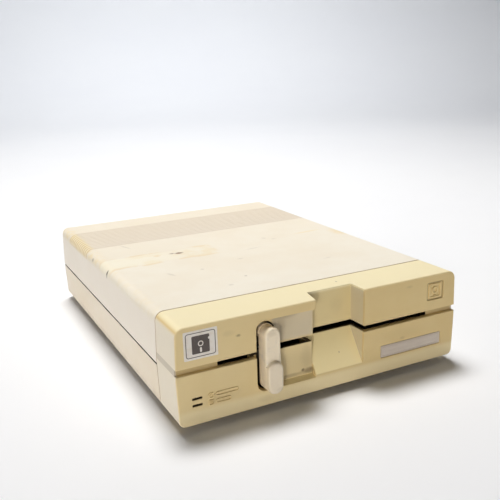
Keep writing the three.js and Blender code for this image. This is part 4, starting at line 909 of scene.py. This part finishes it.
# A pan head screw with a cross recess, hanging head down from its seat at z = 0
def makeScrew(length):
    s = screw
    piece = addRod("screw", "z", (0, 0, -s.headHigh), s.head, s.headHigh, 40)
    roundEdges(piece, lambda e: allAt(e, "z", -s.headHigh), s.edge, 4)
    shank = addRod("shank", "z", (0, 0, -0.1), s.shank, length + 0.1, 24)
    pick(shank, "FACE", lambda face: face.normal.z > 0.9)
    bpy.ops.transform.translate(value=(0, 0, -s.shank * mm))
    extrudeUp(s.shank * mm)
    bpy.ops.mesh.merge(type="CENTER")
    done()
    weld(piece, shank)
    along, across = [about(0, half) for half in s.slot]
    deep = (-s.headHigh - 1, s.slotDeep - s.headHigh)
    carve(piece, addBlock("slot", along, across, deep), addBlock("slot", across, along, deep))
    return soften(piece, 0.08, 2)


# Four copies of each, in place of the nodes of that name
corners = [(end, side) for end in ("Front", "Rear") for side in ("Left", "Right")]
for piece, stem, node, places, z, slot in (
        (makeFoot(), "foot", "foot", (tray.footX, tray.footY), 0, "rubber_foot"),
        (makeScrew(27.9), "caseScrew", "case_screw", (boss.x, boss.y), tray.screwSeat,
         "plated_steel"),
        (makeScrew(16), "driveScrew", "drive_screw", (tray.pillarX, tray.pillarY),
         tray.pillarSeat, "plated_steel")):
    for (x, y), (end, side) in zip(fourPlaces(*places), corners):
        twin = copied(piece, stem + end + side, x, y, z)
        fit(twin, slot, f"{node}_{end}_{side}".lower())
    bpy.data.objects.remove(piece)
print("feet and screws modelled")

lever = Spec(x=-38.1, half=4.65, low=9.1, top=46.05, knobTop=27.7, back=3.6, front=-4.6,
             knobFront=-7.7, edge=1.5, hubBack=8.0)


def makeLever():
    s = lever
    bar = addStadium("diskLever", s.x, s.low, s.top, s.half, (s.front, s.back), 64)
    knob = addStadium("knob", s.x, s.low, s.knobTop, s.half, (s.knobFront, 1), 64)
    for piece, front in ((bar, s.front), (knob, s.knobFront)):
        roundEdges(piece, lambda e: allAt(e, "y", front) and e.calc_face_angle(0) > 1, s.edge, 2)
    hub = addRod("hub", "y", (s.x, 0, s.top - s.half), s.half - 0.05, s.hubBack, 48)
    return soften(weld(bar, knob, hub), 0.3, 3)


fit(makeLever(), "lever_plastic", "disk_lever", "lever")
print("lever modelled")

marks = Spec(y=(-0.55, 0.3), line=0.42, x=-73.1, power=1.6, stroke=(0.22, 0.6), disk=1.5,
             hub=(0.7, 0.32), barStart=-70.6, barHalf=1.15, rows=((14.9, -57.2), (10.8, -61.6)))


# Raised signs beside the lamps: on/off ring and disk, each with a plain outlined bar
def makeFrontMarks():
    s = marks
    upper, lower = [z for z, end in s.rows]
    power = ringAt("powerSign", s.x, upper, s.y, s.power, s.power - s.line)
    stroke = roundedPlate("stroke", about(s.x, s.stroke[0]), s.y, about(upper, s.stroke[1]), 0.15)
    sleeve = roundedOutline("diskSign", about(s.x, s.disk), about(lower, s.disk), s.y, 0.4, s.line)
    hub = ringAt("hubSign", s.x, lower, s.y, *s.hub, 32)
    bars = [roundedOutline("bar", (s.barStart, end), about(z, s.barHalf), s.y, s.barHalf - 0.02,
                           s.line) for z, end in s.rows]
    return soften(asOne("frontSigns", power, stroke, sleeve, hub, *bars), 0.1, 2)


relief = Spec(y=(0.15, 0.95), centre=(76.2, 44.65), half=4.5, line=0.9, corner=0.9, hubUp=0.3,
              hub=(2.3, 1.45), windowDown=3.0, window=(0.9, 0.35))


# A plain flexible disk in relief, in the shallow square recess
def makeEmblemRelief():
    s = relief
    x, z = s.centre
    outline = roundedOutline("emblemRelief", about(x, s.half), about(z, s.half), s.y, s.corner,
                             s.line)
    hub = ringAt("reliefHub", x, z + s.hubUp, s.y, *s.hub)
    window = roundedPlate("reliefWindow", about(x, s.window[0]), s.y,
                          about(z - s.windowDown, s.window[1]), 0.3)
    return soften(asOne("emblemRelief", outline, hub, window), 0.18, 3)


def makeBadgePlate():
    s = badge
    x, z = shrunk(s.x, s.gap), shrunk(s.z, s.gap)
    plate = roundedPlate("badgePlate", x, (s.recess - s.thick, s.recess), z, s.corner - s.gap)
    engraved = roundedOutline("engraving", shrunk(x, s.engraved), shrunk(z, s.engraved),
                              (-1, s.line), 0.5, s.line)
    return soften(carve(plate, engraved), 0.1, 2)


def makeSticker():
    s = sticker
    label = roundedPlate("paperLabel", s.x, (-s.lift, 0.02), s.z, 0.5)
    sliceAt(label, "x", s.x[1] - 3)
    sliceAt(label, "z", s.z[0] + 3)
    moveParts(label, lambda co: co.x > s.x[1] - 0.6 and co.z < s.z[0] + 0.6, y=-s.curl)
    return soften(label, 0.03, 2)


lens = Spec(y=(1.5, 3.2), body=(3.2, 8.2), bodyHalf=1.5, edge=0.3)


def makeLamp(name, z):
    s = lens
    front = addBlock(name, lamps.x, s.y, about(z, lamps.high / 2))
    roundEdges(front, lambda e: middle(e).y < s.y[0] + near, s.edge, 3)
    housing = addBlock("housing", lamps.x, s.body, about(z, s.bodyHalf))
    roundEdges(housing, lambda e: runs(e, "y"), s.edge, 3)
    return soften(asOne(name, front, housing), 0.08, 2)


fit(makeFrontMarks(), "aged_bezel")
fit(makeEmblemRelief(), "aged_bezel")
fit(makeBadgePlate(), "badge_plate", "blank_badge")
fit(makeSticker(), finish="paper")
fit(makeLamp("powerLamp", lamps.heights[0]), "green_lamp", "power_lamp")
fit(makeLamp("driveLamp", lamps.heights[1]), "red_lamp", "drive_lamp")
print("front trim modelled")

socket = Spec(half=9, y=(236.2, 249.2), z=(7.1, 24.1), edge=0.6, axis=15.7, collar=7.7, rear=252,
              ring=(6.9, 6.2), ringDeep=7, shield=(6.82, 6.42), key=1, pin=0.75, pinDeep=5,
              contact=(0.62, 0.3), contactFront=1.4)


def pinPlaces(x, count, circle):
    angles = [2 * math.pi * (i + 0.5) / (count + 1) + math.pi / 2 for i in range(count)]
    return [(x + circle * math.cos(a), socket.axis + circle * math.sin(a)) for a in angles]


def makeSocket(name, x, pins):
    s = socket
    block = addBlock(name, about(x, s.half), s.y, s.z)
    roundEdges(block, lambda e: middle(e).z > s.z[1] - near, s.edge, 3)
    weld(block, addRod("collar", "y", (x, s.y[1] - 1, s.axis), s.collar, s.rear - s.y[1] + 1, 72))
    start, top = s.rear - s.ringDeep, s.axis + s.ring[1]
    ring = ringAt("ringGap", x, s.axis, (start, s.rear + 1), *s.ring, 72)
    key = addBlock("key", about(x, s.key), (start, s.rear + 1), (top - s.key, top + 0.2))
    holes = asOne("pinHoles", *[
        addRod("pinHole", "y", (px, s.rear - s.pinDeep, pz), s.pin, s.pinDeep + 1, 20)
        for px, pz in pins])
    return soften(carve(block, ring, key, holes), 0.15, 2)


def makeShield(name, x):
    s = socket
    reach = (s.rear - s.ringDeep + 0.1, s.rear - 0.4)
    return soften(ringAt(name, x, s.axis, reach, *s.shield, 72), 0.08, 2)


def makeContacts(name, pins):
    s = socket
    reach = (s.rear - s.pinDeep + 0.1, s.rear - s.contactFront)
    return soften(asOne(name, *[ringAt(name, px, pz, reach, *s.contact, 16) for px, pz in pins]))


for name, node, x, count, circle in (
        ("serialSocketLeft", "serial_socket_left", -50, 6, 3.8),
        ("serialSocketRight", "serial_socket_right", -28, 6, 3.8),
        ("powerSocket", "power_socket", 38, 4, 3.2)):
    pins = pinPlaces(x, count, circle)
    fit(makeSocket(name, x, pins), "black_plastic", node)
    fit(makeShield(name + "Shield", x), "plated_steel")
    fit(makeContacts(name + "Contacts", pins), "plated_steel", finish="brass")
print("sockets modelled")

switch = Spec(x=64, z=14.2, half=(7.5, 9), y=(236, 252), edge=0.5, cavity=(5.3, 7.6), deep=8.2,
              pivot=248, bore=1.3, boreHalf=7.1, rocker=(5, 6.6), crown=5.2, dip=1.6, back=2.5,
              backHalf=3, round=5, signDeep=1.1, stroke=(0.25, 3.2, 5.2), ring=(-4.1, 1.1, 0.7),
              tilt=-8, pin=1, pinHalf=6.8)


def makeSwitchBody():
    s = switch
    body = addBlock("powerSwitchBody", about(s.x, s.half[0]), s.y, about(s.z, s.half[1]))
    roundEdges(body, lambda e: middle(e).y > s.y[1] - near, s.edge, 4)
    carve(body,
          addBlock("cavity", about(s.x, s.cavity[0]), (s.y[1] - s.deep, s.y[1] + 2),
                   about(s.z, s.cavity[1])),
          addRod("pinBore", "x", (s.x - s.boreHalf, s.pivot, s.z), s.bore, 2 * s.boreHalf, 24))
    return soften(body, 0.2, 3)


def makeRocker():
    s = switch
    x, z, high, crown = s.x, s.z, s.rocker[1], s.pivot + s.crown
    rocker = addBlock("powerRocker", about(x, s.rocker[0]), (s.pivot - s.back, crown),
                      about(z, high))
    sliceAt(rocker, "y", s.pivot)
    sliceAt(rocker, "z", z)
    for sign in (1, -1):
        moveParts(rocker, lambda co: co.y < s.pivot - 1 and (co.z - z) * sign > 1,
                  z=sign * (s.backHalf - high))
    moveParts(rocker, lambda co: co.y > crown - near and abs(co.z - z) < near, y=-s.dip)
    roundEdges(rocker, lambda e: runs(e, "x") and middle(e).y > crown - s.dip - 0.1
               and abs(middle(e).z - z) < near, s.round, 10)
    (wide, *heights), (ringZ, *radii), reach = s.stroke, s.ring, (crown - s.signDeep, crown + 1)
    stroke = roundedPlate("strokeSign", about(x, wide), reach, [z + h for h in heights], 0.2)
    carve(rocker, stroke, ringAt("ringSign", x, z + ringZ, reach, *radii, 32))
    weld(rocker, addRod("pin", "x", (x - s.pinHalf, s.pivot, z), s.pin, 2 * s.pinHalf, 24))
    at = Matrix.Translation(spot(x, s.pivot, z))
    rocker.matrix_world = at @ Matrix.Rotation(math.radians(s.tilt), 4, "X") @ at.inverted()
    aloneActive(rocker)
    return soften(settle(rocker.name), 0.25, 3)


fit(makeSwitchBody(), "black_plastic", "power_switch_body")
fit(makeRocker(), "black_plastic", "power_rocker", "rocker")

selector = Spec(x=5, half=4.5, y=(242.2, 249.2), z=(7.1, 14.1), offset=2, slotHalf=0.9,
                slotZ=(8.3, 12.9), slotDeep=3, leverHalf=0.6, leverY=(246.5, 250),
                leverZ=(8.6, 10.6), grips=(9.1, 9.6, 10.1), grip=0.16)


def makeSelectorBody():
    s = selector
    body = addBlock("selectorBody", about(s.x, s.half), s.y, s.z)
    for x in about(s.x, s.offset):
        reach = (s.y[1] - s.slotDeep, s.y[1] + 1)
        carve(body, addBlock("slot", about(x, s.slotHalf), reach, s.slotZ))
    return soften(body, 0.2, 2)


def makeSelectorLever(name, x):
    s = selector
    piece = addBlock(name, about(x, s.leverHalf), s.leverY, s.leverZ)
    for z in s.grips:
        carve(piece, addRod("grip", "x", (x - 1, s.leverY[1] + 0.06, z), s.grip, 2, 16))
    return soften(piece, 0.1, 2)


fit(makeSelectorBody(), "black_plastic", "selector_body")
for side, x in zip(("Left", "Right"), about(selector.x, selector.offset)):
    fit(makeSelectorLever("selectorLever" + side, x), "white_nylon",
        "selector_lever_" + side.lower(), "selector_" + side.lower())
print("back panel modelled")

stage = Spec(radius=3.4, height=3.4, sweep=1.8, sides=96)


# A round paper floor that sweeps up into a pale wall on every side
def makeStage():
    s = stage
    bpy.ops.mesh.primitive_circle_add(vertices=s.sides, radius=s.radius, fill_type="NGON")
    floor = settle("studioFloor")
    pick(floor, "EDGE")
    extrudeUp(s.height)
    done()
    removeFaces(floor, lambda f: f.calc_center_median().z > s.height - 0.01)
    pick(floor, "EDGE", lambda e: all(v.co.z < 0.01 for v in e.verts))
    bpy.ops.mesh.bevel(offset=s.sweep, segments=24, affect="EDGES")
    done()
    aloneActive(floor)
    bpy.ops.object.shade_smooth()
    floor.data.materials.append(plainFinish(
        "studioPaper", (241, 242, 244), (238, 239, 242), 400, (0.75, 0.8), depth=0.0))


makeStage()

lights = Spec(
    key=Spec(place=(-0.12, 0.62, 2.3), aim=(0, 0.2, 0.02), size=0.85, power=9.5, spread=110,
             tint=(1, 0.985, 0.965)),
    secondKey=Spec(place=(0.25, 0.6, 2.3), aim=(0.1, 0.2, 0.02), size=0.7, power=5.25, spread=70,
                   tint=(1, 0.985, 0.965)),
    fill=Spec(place=(-1.1, -1.5, 0.2), aim=(0, -0.1, 0.03), size=0.34, power=1.22, spread=60,
              tint=(1, 0.96, 0.9)),
    leftFill=Spec(place=(-1.85, 0.1, 0.21), aim=(0, 0.1, 0.03), size=0.36, power=0.6, spread=60,
                  tint=(1, 0.98, 0.95)),
    backdrop=Spec(place=(0.42, 1.1, 2.4), aim=(0.82, 2.35, 0.05), size=1.6, power=17, spread=90,
                  tint=(0.95, 0.97, 1)),
)
sky = Spec(tint=(0.95, 0.97, 1), strength=0.004)
world = bpy.data.worlds.new("softStudio")
world.use_nodes = True
background = world.node_tree.nodes["Background"]
background.inputs[0].default_value = (*sky.tint, 1)
background.inputs[1].default_value = sky.strength
bpy.context.scene.world = world
for name, s in lights.items():
    bpy.ops.object.light_add(type="AREA", location=s.place)
    lamp = bpy.context.active_object
    lamp.name = name + "Light"
    lamp.data.shape = "DISK"
    lamp.data.size = s.size
    lamp.data.energy = s.power
    lamp.data.spread = math.radians(s.spread)
    lamp.data.color = s.tint
    towards = Vector(s.aim) - lamp.location
    lamp.rotation_euler = towards.to_track_quat("-Z", "Y").to_euler()
bpy.context.scene.view_settings.view_transform = "Standard"
print("stage and lights set")
